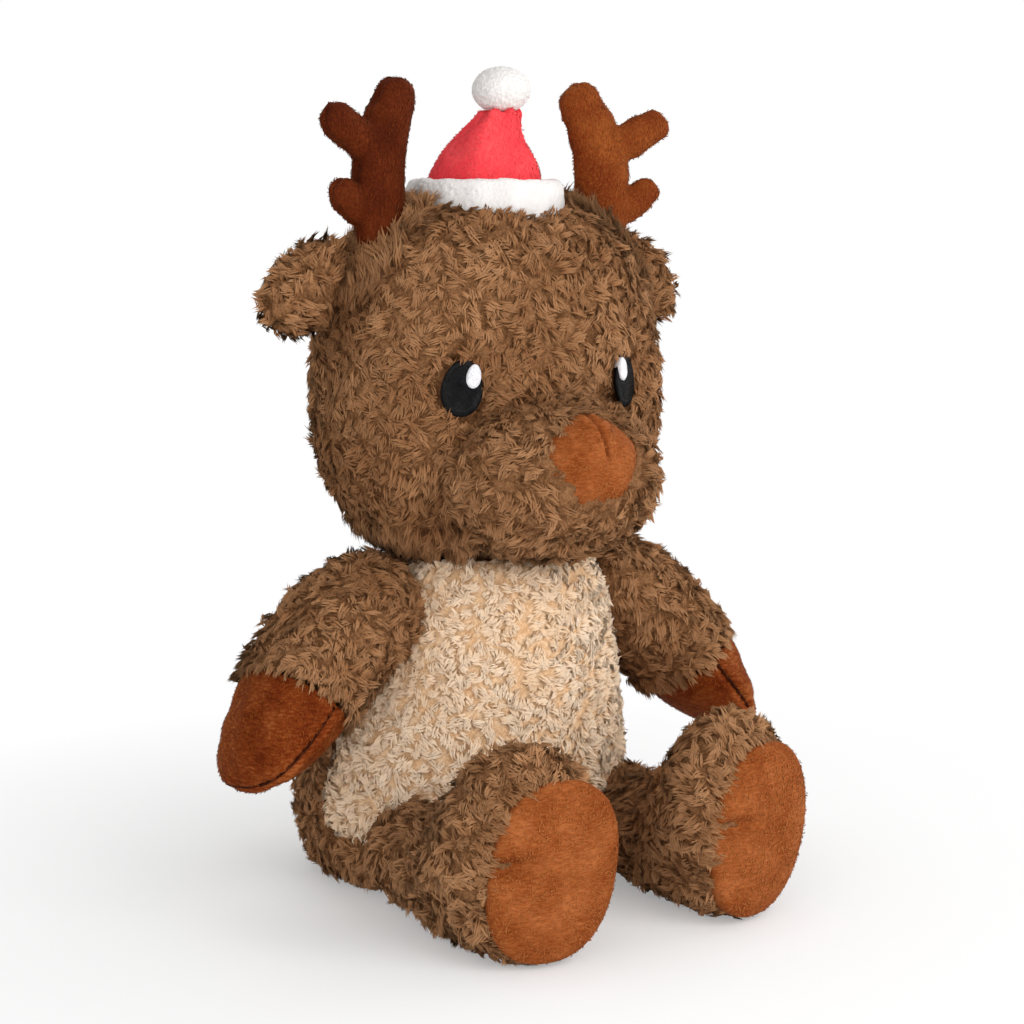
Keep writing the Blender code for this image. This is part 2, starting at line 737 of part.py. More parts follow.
def shoulder_block(side, sign, pivot, torso, shoulder):
    """A form turned on the arm's swing axis that holds all that the torso fills as the arm swings."""
    reach = ARM_DOWN + 2 * ARM_HALF_WIDTH
    out = Vector((sign, 0, 0))
    inner = shoulder - out * (SHOULDER_OUT + OVERRUN)
    rings = [ring(inner, out, Vector((0, 0, 1)), reach, reach, SHOULDER_SIDES)]
    for x, radius in reversed(shoulder_profile(sign, torso, shoulder, reach)):
        centre = Vector((sign * x, shoulder.y, shoulder.z))
        rings.append(ring(centre, out, Vector((0, 0, 1)), radius, radius, SHOULDER_SIDES))
    mesh = cage("shoulder_block", rings)
    bm = bmesh.new()
    bm.from_mesh(mesh)
    bmesh.ops.recalc_face_normals(bm, faces=bm.faces)
    bm.to_mesh(mesh)
    bm.free()
    return add_cutter("shoulder_block_" + side, mesh, pivot)


def arm_rings(side, sign):
    """Rings of a whole arm, from inside the shoulder to the tip of the paw."""
    shoulder = Vector((sign * SHOULDER_OUT, -SHOULDER_FORWARD, SHOULDER_HEIGHT))
    hang = Matrix.Rotation(sign * ARM_DROP[side], 3, "Y")
    places = []
    halves = []
    for out, forward, down, width, thick in SLEEVE_SHARES + PAW_SHARES:
        run = Vector((sign * out * ARM_OUT, -forward * ARM_FORWARD, -down * ARM_DOWN))
        places.append(shoulder + hang @ run)
        halves.append((width * ARM_HALF_WIDTH, thick * ARM_HALF_THICK))
    return rings_along(places, halves, Vector((0, -1, 0)), LIMB_SIDES)


def make_arms(torso):
    """Sleeve, paw and filling of each arm, cut to swing past the torso."""
    for side, sign in SIDES:
        shoulder = Vector((sign * SHOULDER_OUT, -SHOULDER_FORWARD, SHOULDER_HEIGHT))
        pivot = add_empty("shoulder_pivot_" + side, shoulder, ROOT)
        room = shoulder_block(side, sign, pivot, torso, shoulder)
        rings = arm_rings(side, sign)
        wrist = len(SLEEVE_SHARES) - 1
        # The paw starts at the sleeve's last ring, moved on by the seam's gap.
        on = (rings[wrist + 1][0] - rings[wrist][0]).normalized() * SEAM_GAP
        paw_rings = [[point + on for point in rings[wrist]]] + rings[wrist + 1:]
        sleeve_cage = cage("arm_sleeve", rings[:wrist + 1], close_end=False)
        sleeve = add_piece("arm_sleeve_" + side, sleeve_cage, PILE, pivot)
        smooth(sleeve)
        thicken(sleeve, PILE_WALL)
        paw = add_piece("paw_" + side, cage("paw", paw_rings, close_start=False), PAW_PILE, pivot)
        smooth(paw)
        thicken(paw, VELOUR_WALL)
        filling = add_piece("arm_filling_" + side, cage("arm_filling", rings), FILL, pivot)
        smooth(filling)
        grow(filling, -(PILE_WALL + 2 * SEAM_GAP))
        for piece in (sleeve, filling):
            cut(piece, room)


def leg_frame(sign):
    """A leg's hip, the run of its axis, the way its foot points and the foot's sideways direction."""
    hip = Vector((sign * HIP_OUT, -HIP_FORWARD, HIP_HEIGHT))
    run = Vector((sign * LEG_OUT, -LEG_FORWARD, 0))
    toes = Matrix.Rotation(sign * FOOT_TURN, 3, "Z") @ run.normalized()
    return hip, run, toes, Vector((0, 0, 1)).cross(toes)


def leg_rings(sign):
    """Rings of a leg, from its rounded root to the foot's rim, all on the floor."""
    hip, run, toes, across = leg_frame(sign)
    rings = []
    for along, wide, tall in LEG_RING_SHARES:
        rings.append(ring(hip + run * along, run, across, wide * LEG_RADIUS, tall * LEG_RADIUS, LIMB_SIDES))
    for along, wide, tall in FOOT_RING_SHARES:
        centre = hip + run * along
        centre.z = tall * FOOT_HALF_HEIGHT - FLOOR_CUT
        rings.append(ring(centre, toes, across, wide * FOOT_HALF_WIDTH, tall * FOOT_HALF_HEIGHT, LIMB_SIDES))
    return rings


def sole_rings(sign):
    """Rings of a sole, from the foot's rim to the middle of its dome."""
    hip, run, toes, across = leg_frame(sign)
    along, _, tall = FOOT_RING_SHARES[-1]
    rings = []
    for rise, size in SOLE_RING_SHARES:
        centre = hip + run * along + toes * (3 * SEAM_GAP + rise * SOLE_DOME)
        centre.z = tall * FOOT_HALF_HEIGHT - FLOOR_CUT
        rings.append(ring(centre, toes, across, size * FOOT_HALF_WIDTH, size * FOOT_HALF_HEIGHT, LIMB_SIDES))
    return rings


def make_legs():
    """Leg skin, sole and filling of each leg. Returns the cutters of the hip seats."""
    seats = []
    for side, sign in SIDES:
        hip = leg_frame(sign)[0]
        pivot = add_empty("hip_pivot_" + side, hip, ROOT)
        low = Vector((-TORSO_HEIGHT, -TORSO_HEIGHT - OVERRUN, -TORSO_HEIGHT))
        floor = block("foot_floor_" + side, low, Vector((TORSO_HEIGHT, TORSO_HEIGHT, 0)), pivot)
        rings = leg_rings(sign)
        skin = add_piece("leg_skin_" + side, cage("leg_skin", rings, close_end=False), PILE, pivot)
        smooth(skin)
        thicken(skin, PILE_WALL)
        cut(skin, floor)
        filling = add_piece("leg_filling_" + side, cage("leg_filling", rings), FILL, pivot)
        smooth(filling)
        grow(filling, -(PILE_WALL + SEAM_GAP))
        sole = add_piece("sole_" + side, cage("sole", sole_rings(sign), close_start=False), SHORT_PILE, pivot)
        smooth(sole)
        thicken(sole, VELOUR_WALL)
        reach = HIP_ROOT + SWING_GAP
        seats.append(add_cutter("hip_seat_" + side, egg("hip_seat", hip, (reach, reach, reach)), ROOT))
    return seats


def centre_on_floor():
    """Moves the deer so that the middle of its box stands over the origin."""
    bpy.context.view_layer.update()
    graph = bpy.context.evaluated_depsgraph_get()
    places = []
    for piece in PARTS.objects:
        if piece.type == "MESH":
            evaluated = piece.evaluated_get(graph)
            places += [evaluated.matrix_world @ vertex.co for vertex in evaluated.data.vertices]
    for axis in (0, 1):
        along = [place[axis] for place in places]
        ROOT.location[axis] = -(min(along) + max(along)) / 2


PARTS, CUTTERS = clear_scene()
PILE = cloth("brown_teddy_pile", BROWN, 0.95)
BELLY_PILE = cloth("cream_teddy_pile", CREAM, 0.95)
SHORT_PILE = cloth("rust_velour", RUST, 0.75)
PAW_PILE = cloth("rust_paw_velour", RUST, 0.75)
ANTLER_PILE = cloth("rust_antler_velour", ANTLER_RUST, 0.75)
HAT_VELOUR = cloth("red_velour", RED, 0.8)
WHITE_PILE = cloth("white_plush", WHITE, 0.9)
THREAD = cloth("black_thread", BLACK, 0.5)
GLINT_THREAD = cloth("white_thread", GLINT_WHITE, 0.5)
FILL = cloth("polyester_filling", FILLING, 1.0)
POUCH_CLOTH = cloth("pouch_cloth", LINEN, 0.9)

ROOT = add_empty("deer", Vector((0, 0, 0)))
NECK = add_empty("neck_pivot", Vector((0, 0, TORSO_HEIGHT)), ROOT)

HIP_SEATS = make_legs()
TORSO = make_torso(HIP_SEATS)
TORSO_CAGE = cage("torso_form", torso_rings(FLOOR_CUT, SEAM_GAP / 2), flat_end=True)
TORSO_FORM = add_cutter("torso_form", TORSO_CAGE, ROOT)
smooth(TORSO_FORM)
make_arms(TORSO_FORM)
HEAD_FORM, HEAD_SKIN, HEAD_FILLING = make_head(NECK)
make_muzzle(NECK, HEAD_FORM)
make_eyes(NECK, HEAD_FORM)
for seat in make_ears(NECK, HEAD_FORM):
    cut(HEAD_SKIN, seat)
    cut(HEAD_FILLING, seat)
make_antlers(NECK, HEAD_FORM)
make_hat(NECK, HEAD_FORM)
centre_on_floor()
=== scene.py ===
"""Looks of a seated plush deer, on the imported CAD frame.

Every stuffed piece is a skin of smooth closed rings. Long pile is grown on the brown and cream skins as
thousands of tapered locks that lean together in tufts, and the velour pieces carry a fine short nap.
Lengths are metres, +Z is up, and the deer faces -Y.
"""

import json
import logging
import math
from collections.abc import Callable, Sequence
from dataclasses import dataclass, field, replace
from enum import Enum

import bpy
import numpy as np
from numpy.typing import NDArray
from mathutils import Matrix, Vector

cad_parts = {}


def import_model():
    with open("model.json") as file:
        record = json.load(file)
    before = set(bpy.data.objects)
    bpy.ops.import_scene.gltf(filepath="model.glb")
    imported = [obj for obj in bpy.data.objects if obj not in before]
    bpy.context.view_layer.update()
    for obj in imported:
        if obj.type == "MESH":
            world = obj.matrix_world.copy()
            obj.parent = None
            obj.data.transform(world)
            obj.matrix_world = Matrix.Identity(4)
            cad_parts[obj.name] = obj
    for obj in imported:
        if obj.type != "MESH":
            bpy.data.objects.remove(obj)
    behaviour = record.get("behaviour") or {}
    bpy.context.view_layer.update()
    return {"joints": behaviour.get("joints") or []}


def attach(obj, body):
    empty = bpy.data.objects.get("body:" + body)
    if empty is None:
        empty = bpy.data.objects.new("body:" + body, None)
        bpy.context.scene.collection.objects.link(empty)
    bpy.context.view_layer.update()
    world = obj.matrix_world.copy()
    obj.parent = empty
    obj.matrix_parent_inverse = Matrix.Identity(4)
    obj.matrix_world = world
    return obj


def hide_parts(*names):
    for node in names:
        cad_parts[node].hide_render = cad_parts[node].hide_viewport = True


Array = NDArray[np.float64]
Keep = Callable[[Array, Array], Array]

MM = 0.001
LOG = logging.getLogger("plush_deer")

UP = np.array([0, 0, 1.0])
ACROSS = np.array([1.0, 0, 0])


class Side(Enum):
    """The deer's own right and left, with the sign of x on that side."""

    RIGHT = -1
    LEFT = 1

    @property
    def label(self) -> str:
        """The word that ends the names of this side's pieces."""
        return self.name.lower()


def linear(hex_colour: str) -> tuple[float, float, float, float]:
    """Turns an sRGB hex colour to linear red, green, blue and alpha.

    Args:
        hex_colour: Six hex digits.

    Returns:
        Four numbers from 0 to 1.
    """
    channels = [int(hex_colour[i : i + 2], 16) / 255 for i in (0, 2, 4)]
    turned = [c / 12.92 if c <= 0.04045 else ((c + 0.055) / 1.055) ** 2.4 for c in channels]
    return (turned[0], turned[1], turned[2], 1.0)


def unit(vectors: Array) -> Array:
    """Each vector at length one, where zero vectors stay zero."""
    length = np.linalg.norm(vectors, axis=-1, keepdims=True)
    return vectors / np.maximum(length, 1e-12)


def full_turn(count: int) -> Array:
    """Even angles round one turn, without the last one that repeats the first."""
    return np.linspace(0, math.tau, count, endpoint=False)


def smooth_step(values: Array, low: float, high: float) -> Array:
    """Rises from 0 at low to 1 at high with flat ends: 3 s squared minus 2 s cubed."""
    share = np.clip((values - low) / (high - low), 0, 1)
    return share * share * (3 - 2 * share)


def waves(places: Array, length: float, seed: int, count: int = 14) -> Array:
    """A smooth random field: the mean of many sine waves of about one length, in random directions.

    Args:
        places: Points, one a row.
        length: The usual wavelength.
        seed: Which field.
        count: How many waves are summed.

    Returns:
        One value a point, mostly from -1 to 1.
    """
    rng = np.random.default_rng(seed)
    ways = unit(rng.normal(size=(count, 3))) / (length * rng.uniform(0.6, 1.6, (count, 1)))
    phases = rng.uniform(0, math.tau, count)
    return np.sin(math.tau * places @ ways.T + phases).sum(axis=1) * (1.5 / math.sqrt(count)) / 1.2


@dataclass
class Skin:
    """A closed triangle mesh with a normal at each point and each point's place on its form."""

    points: Array
    triangles: NDArray[np.int64]
    normals: Array
    along: Array = field(default_factory=lambda: np.zeros(0))
    around: Array = field(default_factory=lambda: np.zeros(0))

    def raised(self, heights: Array) -> "Skin":
        """The same skin with each point moved out along its normal, its normals worked out again."""
        moved = self.points + self.normals * heights[:, None]
        return Skin(moved, self.triangles, point_normals(moved, self.triangles), self.along, self.around)

    def crimped(self, full: float = 1.5 * MM, rough: float = 1.2 * MM, length: float = 6.5 * MM) -> "Skin":
        """The skin swollen by matted curls: a full height plus two sizes of waves, the large one ridged."""
        ridge = 0.55 - np.abs(waves(self.points, length, 3))
        fine = waves(self.points, length * 0.5, 4)
        return self.raised(full + rough * (ridge + 0.35 * fine))

    def on_floor(self, lowest: float = 0.0) -> "Skin":
        """The same skin pressed flat where it would lie lower than the floor."""
        moved = self.points.copy()
        moved[:, 2] = np.maximum(moved[:, 2], lowest)
        return Skin(moved, self.triangles, self.normals, self.along, self.around)

    def scatter(self, spacing: float, keep: Keep, rng: np.random.Generator) -> tuple[Array, Array]:
        """Even random points on the skin: equal steps along the running total of triangle areas.

        Args:
            spacing: The usual distance between neighbours.
            keep: From places and normals, the share of the points to keep there.
            rng: The random numbers.

        Returns:
            Points and their normals.
        """
        corners = self.points[self.triangles]
        area = np.linalg.norm(np.cross(corners[:, 1] - corners[:, 0], corners[:, 2] - corners[:, 0]),
                              axis=1) / 2
        middle_normal = unit(self.normals[self.triangles].sum(axis=1))
        weight = area * keep(corners.mean(axis=1), middle_normal)
        total = weight.sum()
        count = int(total / spacing**2)
        picks = (np.arange(count) + rng.random(count)) / count
        chosen = np.searchsorted(np.cumsum(weight) / total, picks).clip(0, len(weight) - 1)
        a, b = rng.random(count), rng.random(count)
        over = a + b > 1
        a, b = np.where(over, 1 - a, a), np.where(over, 1 - b, b)
        shares = np.stack([1 - a - b, a, b], axis=1)[:, :, None]
        places = (corners[chosen] * shares).sum(axis=1)
        normals = unit((self.normals[self.triangles[chosen]] * shares).sum(axis=1))
        return places, normals


def point_normals(points: Array, triangles: NDArray[np.int64]) -> Array:
    """The area-weighted mean of the normals of the triangles that meet at each point."""
    corners = points[triangles]
    faces = np.cross(corners[:, 1] - corners[:, 0], corners[:, 2] - corners[:, 0])
    total = np.zeros_like(points)
    for corner in range(3):
        np.add.at(total, triangles[:, corner], faces)
    return unit(total)


def quads(*corners: NDArray[np.int64]) -> NDArray[np.int64]:
    """Two triangles for each set of four corners, which are given in order round it."""
    a, b, c, d = corners
    halves = (np.stack(three, axis=-1).reshape(-1, 3) for three in ([a, b, c], [a, c, d]))
    return np.concatenate(list(halves))


def closed_skin(grid: Array, along: Array, around: Array) -> Skin:
    """A skin from rings whose first and last rings are each a single point.

    Args:
        grid: Points by ring and step, shape (rings, steps, 3).
        along: Each ring's place along the form.
        around: Each step's angle.

    Returns:
        A closed skin whose faces point away from the ring centres.
    """
    rings, steps = grid.shape[:2]
    points = np.vstack([grid[0].mean(axis=0)[None], grid[1:-1].reshape(-1, 3), grid[-1].mean(axis=0)[None]])
    inner = np.arange((rings - 2) * steps).reshape(rings - 2, steps) + 1
    after = np.roll(inner, -1, axis=1)
    low, high = inner[:-1], inner[1:]
    low_after, high_after = after[:-1], after[1:]
    sides = quads(low, low_after, high_after, high)
    first = np.stack([np.zeros(steps, int), after[0], inner[0]], axis=-1)
    last = np.stack([np.full(steps, len(points) - 1), inner[-1], after[-1]], axis=-1)
    triangles = np.concatenate([sides, first, last])
    if np.linalg.det(points[triangles] - points.mean(axis=0)).sum() < 0:
        triangles = triangles[:, ::-1]
    ring_along = np.concatenate([along[:1], np.repeat(along[1:-1], steps), along[-1:]])
    ring_around = np.concatenate([around[:1], np.tile(around, rings - 2), around[:1]])
    return Skin(points, triangles, point_normals(points, triangles), ring_along, ring_around)


def slab(outer: Array, inner: Array) -> Skin:
    """A closed sheet between two grids of the same shape, joined round their rims."""
    rows, columns = outer.shape[:2]
    count = rows * columns
    index = np.arange(count).reshape(rows, columns)
    a, b, c, d = index[:-1, :-1], index[1:, :-1], index[1:, 1:], index[:-1, 1:]
    front = quads(a, b, c, d)
    rim = np.concatenate([index[0, :-1], index[:-1, -1], index[-1, :0:-1], index[:0:-1, 0]])
    after = np.roll(rim, -1)
    edge = quads(rim, after, after + count, rim + count)
    triangles = np.concatenate([front, front[:, ::-1] + count, edge])
    points = np.vstack([outer.reshape(-1, 3), inner.reshape(-1, 3)])
    if np.linalg.det(points[triangles] - points.mean(axis=0)).sum() < 0:
        triangles = triangles[:, ::-1]
    return Skin(points, triangles, point_normals(points, triangles))


@dataclass(frozen=True)
class Form:
    """A stuffed form: a cubic B-spline through rings, closed to a point at both ends.

    A ring is its centre plus two half axes times the cosine and sine of the angle, each raised to
    2 / power, so a power over 2 makes a squarer ring.
    """

    centres: Array
    across: Array
    other: Array
    power: float = 2.0

    @property
    def length(self) -> float:
        """The last value of the place along the form. The first is 0."""
        return float(len(self.centres) + 3)

    def rows(self, along: Array) -> tuple[Array, Array, Array]:
        """The ring centre and both half axes at each place: the four nearest rings in B-spline shares."""
        none = np.zeros((3, 3))
        first, last = np.repeat(self.centres[:1], 3, axis=0), np.repeat(self.centres[-1:], 3, axis=0)
        tables = (
            np.vstack([first, self.centres, last]),
            np.vstack([none, self.across, none]),
            np.vstack([none, self.other, none]),
        )
        start = np.floor(along).astype(int).clip(0, int(self.length) - 1)
        s = (along - start)[:, None]
        shares = np.concatenate([
            (1 - s) ** 3,
            3 * s**3 - 6 * s**2 + 4,
            -3 * s**3 + 3 * s**2 + 3 * s + 1,
            s**3,
        ], axis=1) / 6
        picked = start[:, None] + np.arange(4)
        return tuple((table[picked] * shares[:, :, None]).sum(axis=1) for table in tables)

    def grid(self, along: Array, around: Array) -> Array:
        """Points at each place along and each angle: centre plus both half axes in their shares."""
        centre, across, other = self.rows(along)
        bend = 2 / self.power
        wide, tall = np.cos(around), np.sin(around)
        wide = np.sign(wide) * np.abs(wide) ** bend
        tall = np.sign(tall) * np.abs(tall) ** bend
        return centre[:, None] + across[:, None] * wide[None, :, None] + other[:, None] * tall[None, :, None]

    def skin(self, per_ring: int = 9, steps: int = 96) -> Skin:
        """The whole form as a closed skin.

        Args:
            per_ring: Grid rows for each ring of the form.
            steps: Points round each row.

        Returns:
            The skin.
        """
        along = np.linspace(0, self.length, int(self.length) * per_ring + 1)
        around = full_turn(steps)
        return closed_skin(self.grid(along, around), along, around)


def square_rings(centres: Array, way: Array, across: Array, halves: Array, power: float = 2.0) -> Form:
    """A form whose rings all face one way.

    Args:
        centres: Ring centres.
        way: The direction each ring faces, one or one a ring.
        across: The direction of the first half size.
        halves: Both half sizes of each ring.
        power: How square the rings are.

    Returns:
        The form.
    """
    way = unit(np.broadcast_to(way, centres.shape))
    side = np.broadcast_to(across, centres.shape)
    side = unit(side - way * (side * way).sum(axis=1, keepdims=True))
    return Form(centres, side * halves[:, :1], np.cross(way, side) * halves[:, 1:2], power)


def rings_along(centres: Array, across: Array, halves: Array) -> Form:
    """A form whose rings lie square to the path through their centres."""
    before = np.vstack([centres[:1], centres[:-1]])
    after = np.vstack([centres[1:], centres[-1:]])
    return square_rings(centres, after - before, across, halves)


def make_mesh(
    name: str, points: Array, triangles: NDArray[np.int64], uv: Array | None = None,
    normals: Array | None = None,
) -> bpy.types.Object:
    """Puts points and triangles into a smooth-shaded mesh object at the origin.

    Args:
        name: The piece's name.
        points: Points in metres.
        triangles: Three point numbers a row.
        uv: One (u, v) a point for the map that colours it, if it has one.
        normals: One normal a point for its shading, if it isn't its own.

    Returns:
        The object, linked to the scene.
    """
    mesh = bpy.data.meshes.new(name)
    mesh.vertices.add(len(points))
    mesh.vertices.foreach_set("co", points.astype(np.float32).ravel())
    mesh.loops.add(triangles.size)
    mesh.loops.foreach_set("vertex_index", triangles.astype(np.int32).ravel())
    mesh.polygons.add(len(triangles))
    mesh.polygons.foreach_set("loop_start", np.arange(0, triangles.size, 3, dtype=np.int32))
    mesh.update(calc_edges=True)
    mesh.shade_smooth()
    if uv is not None:
        layer = mesh.uv_layers.new(name="OFBake")
        layer.data.foreach_set("uv", uv[triangles.ravel()].astype(np.float32).ravel())
    if normals is not None:
        mesh.normals_split_custom_set_from_vertices(normals.astype(np.float32))
    made = bpy.data.objects.new(name, mesh)
    bpy.context.scene.collection.objects.link(made)
    return made


def add_node(
    tree: bpy.types.NodeTree,
    kind: str,
    settings: dict[str, object] | None = None,
    links: dict[str | int, bpy.types.NodeSocket] | None = None,
) -> bpy.types.Node:
    """Adds a node, sets its properties and sockets, and links its inputs.

    Args:
        tree: The node tree.
        kind: The node's type name.
        settings: Values by property or input name.
        links: Sockets that feed its inputs, by input name or number.

    Returns:
        The node.
    """
    node = tree.nodes.new(kind)
    for name, value in (settings or {}).items():
        if name in node.inputs:
            node.inputs[name].default_value = value
        else:
            setattr(node, name, value)
    for name, socket in (links or {}).items():
        tree.links.new(socket, node.inputs[name])
    return node


def fill_ramp(node: bpy.types.Node, stops: Sequence[tuple[float, str]]) -> None:
    """Gives a colour ramp its stops, each a place from 0 to 1 and an sRGB hex colour."""
    elements = node.color_ramp.elements
    while len(elements) < len(stops):
        elements.new(0.5)
    for element, (place, colour) in zip(elements, stops):
        element.position = place
        element.color = linear(colour)


def new_material(name: str) -> tuple[bpy.types.Material, bpy.types.NodeTree, bpy.types.Node]:
    """A material with its node tree and its Principled shader."""
    made = bpy.data.materials.new(name)
    made.use_nodes = True
    tree = made.node_tree
    return made, tree, tree.nodes["Principled BSDF"]


@dataclass(frozen=True)
class PileFinish:
    """Crimped polyester teddy pile, knitted, cut and tumbled so that its fibres lie in curled locks.

    The eye sees roots painted dark as the shade in the gaps between locks, matt mid-brown sides and paler
    tips. A lock's map holds its tint in u and the way from root to tip in v, so the colour follows each lock.
    """

    name: str
    dark: tuple[str, str, str]
    light: tuple[str, str, str]
    roughness: float = 0.9
    sheen: float = 0.12
    sheen_colour: str = "FFFFFF"

    def material(self) -> bpy.types.Material:
        """Mixes a dark and a light root-to-tip ramp by the lock's tint."""
        made, tree, shader = new_material(self.name)
        place = add_node(tree, "ShaderNodeUVMap", {"uv_map": "OFBake"})
        parts = add_node(tree, "ShaderNodeSeparateXYZ", links={"Vector": place.outputs["UV"]})
        ramps = []
        for colours in (self.dark, self.light):
            ramp = add_node(tree, "ShaderNodeValToRGB", links={"Fac": parts.outputs["Y"]})
            fill_ramp(ramp, list(zip((0.0, 0.45, 1.0), colours)))
            ramps.append(ramp)
        mixed = add_node(tree, "ShaderNodeMix", {"data_type": "RGBA"}, {
            "Factor": parts.outputs["X"],
            6: ramps[0].outputs["Color"],
            7: ramps[1].outputs["Color"],
        })
        tree.links.new(mixed.outputs[2], shader.inputs["Base Color"])
        shader.inputs["Roughness"].default_value = self.roughness
        shader.inputs["Specular IOR Level"].default_value = 0.06
        shader.inputs["Sheen Weight"].default_value = self.sheen
        shader.inputs["Sheen Roughness"].default_value = 0.5
        shader.inputs["Sheen Tint"].default_value = linear(self.sheen_colour)
        return made


@dataclass(frozen=True)
class ClothFinish:
    """Knitted or velour cloth seen close: a mottled dye, a fine grain and a soft sheen.

    Large patches are where the nap was stroked another way, and the fine grain is the nap itself.
    """

    name: str
    colours: tuple[str, str, str]
    patch: float = 14 * MM
    grain: float = 1.1 * MM
    stretch: tuple[float, float, float] = (1.0, 1.0, 0.45)
    roughness: float = 0.8
    sheen: float = 0.3
    bump: float = 0.35
    gloss: float = 0.06
    sheen_colour: str = "FFFFFF"

    def material(self) -> bpy.types.Material:
        """Mixes three colours by a broad and a fine noise, with the fine one raised as bump."""
        made, tree, shader = new_material(self.name)
        place = add_node(tree, "ShaderNodeTexCoord")
        laid = add_node(tree, "ShaderNodeMapping", {"Scale": self.stretch}, {"Vector": place.outputs["Object"]})
        broad = add_node(tree, "ShaderNodeTexNoise", {"Scale": 1 / self.patch, "Detail": 2.0},
                         {"Vector": place.outputs["Object"]})
        fine = add_node(tree, "ShaderNodeTexNoise", {"Scale": 1 / self.grain, "Detail": 3.0, "Roughness": 0.6},
                        {"Vector": laid.outputs["Vector"]})
        both = add_node(tree, "ShaderNodeMix", {"data_type": "FLOAT", "Factor": 0.55},
                        {2: broad.outputs["Fac"], 3: fine.outputs["Fac"]})
        ramp = add_node(tree, "ShaderNodeValToRGB", links={"Fac": both.outputs[0]})
        fill_ramp(ramp, list(zip((0.36, 0.5, 0.64), self.colours)))
        tree.links.new(ramp.outputs["Color"], shader.inputs["Base Color"])
        bump = add_node(tree, "ShaderNodeBump", {"Strength": self.bump, "Distance": 0.4 * MM},
                        {"Height": fine.outputs["Fac"]})
        tree.links.new(bump.outputs["Normal"], shader.inputs["Normal"])
        shader.inputs["Roughness"].default_value = self.roughness
        shader.inputs["Specular IOR Level"].default_value = self.gloss
        shader.inputs["Sheen Weight"].default_value = self.sheen
        shader.inputs["Sheen Roughness"].default_value = 0.4
        shader.inputs["Sheen Tint"].default_value = linear(self.sheen_colour)
        return made


@dataclass(frozen=True)
class Cloth:
    """A cloth of the deer: the record's slot, the finish of its surface and that of its pile or nap."""

    slot: str
    surface: bpy.types.Material
    pile: bpy.types.Material | None = None


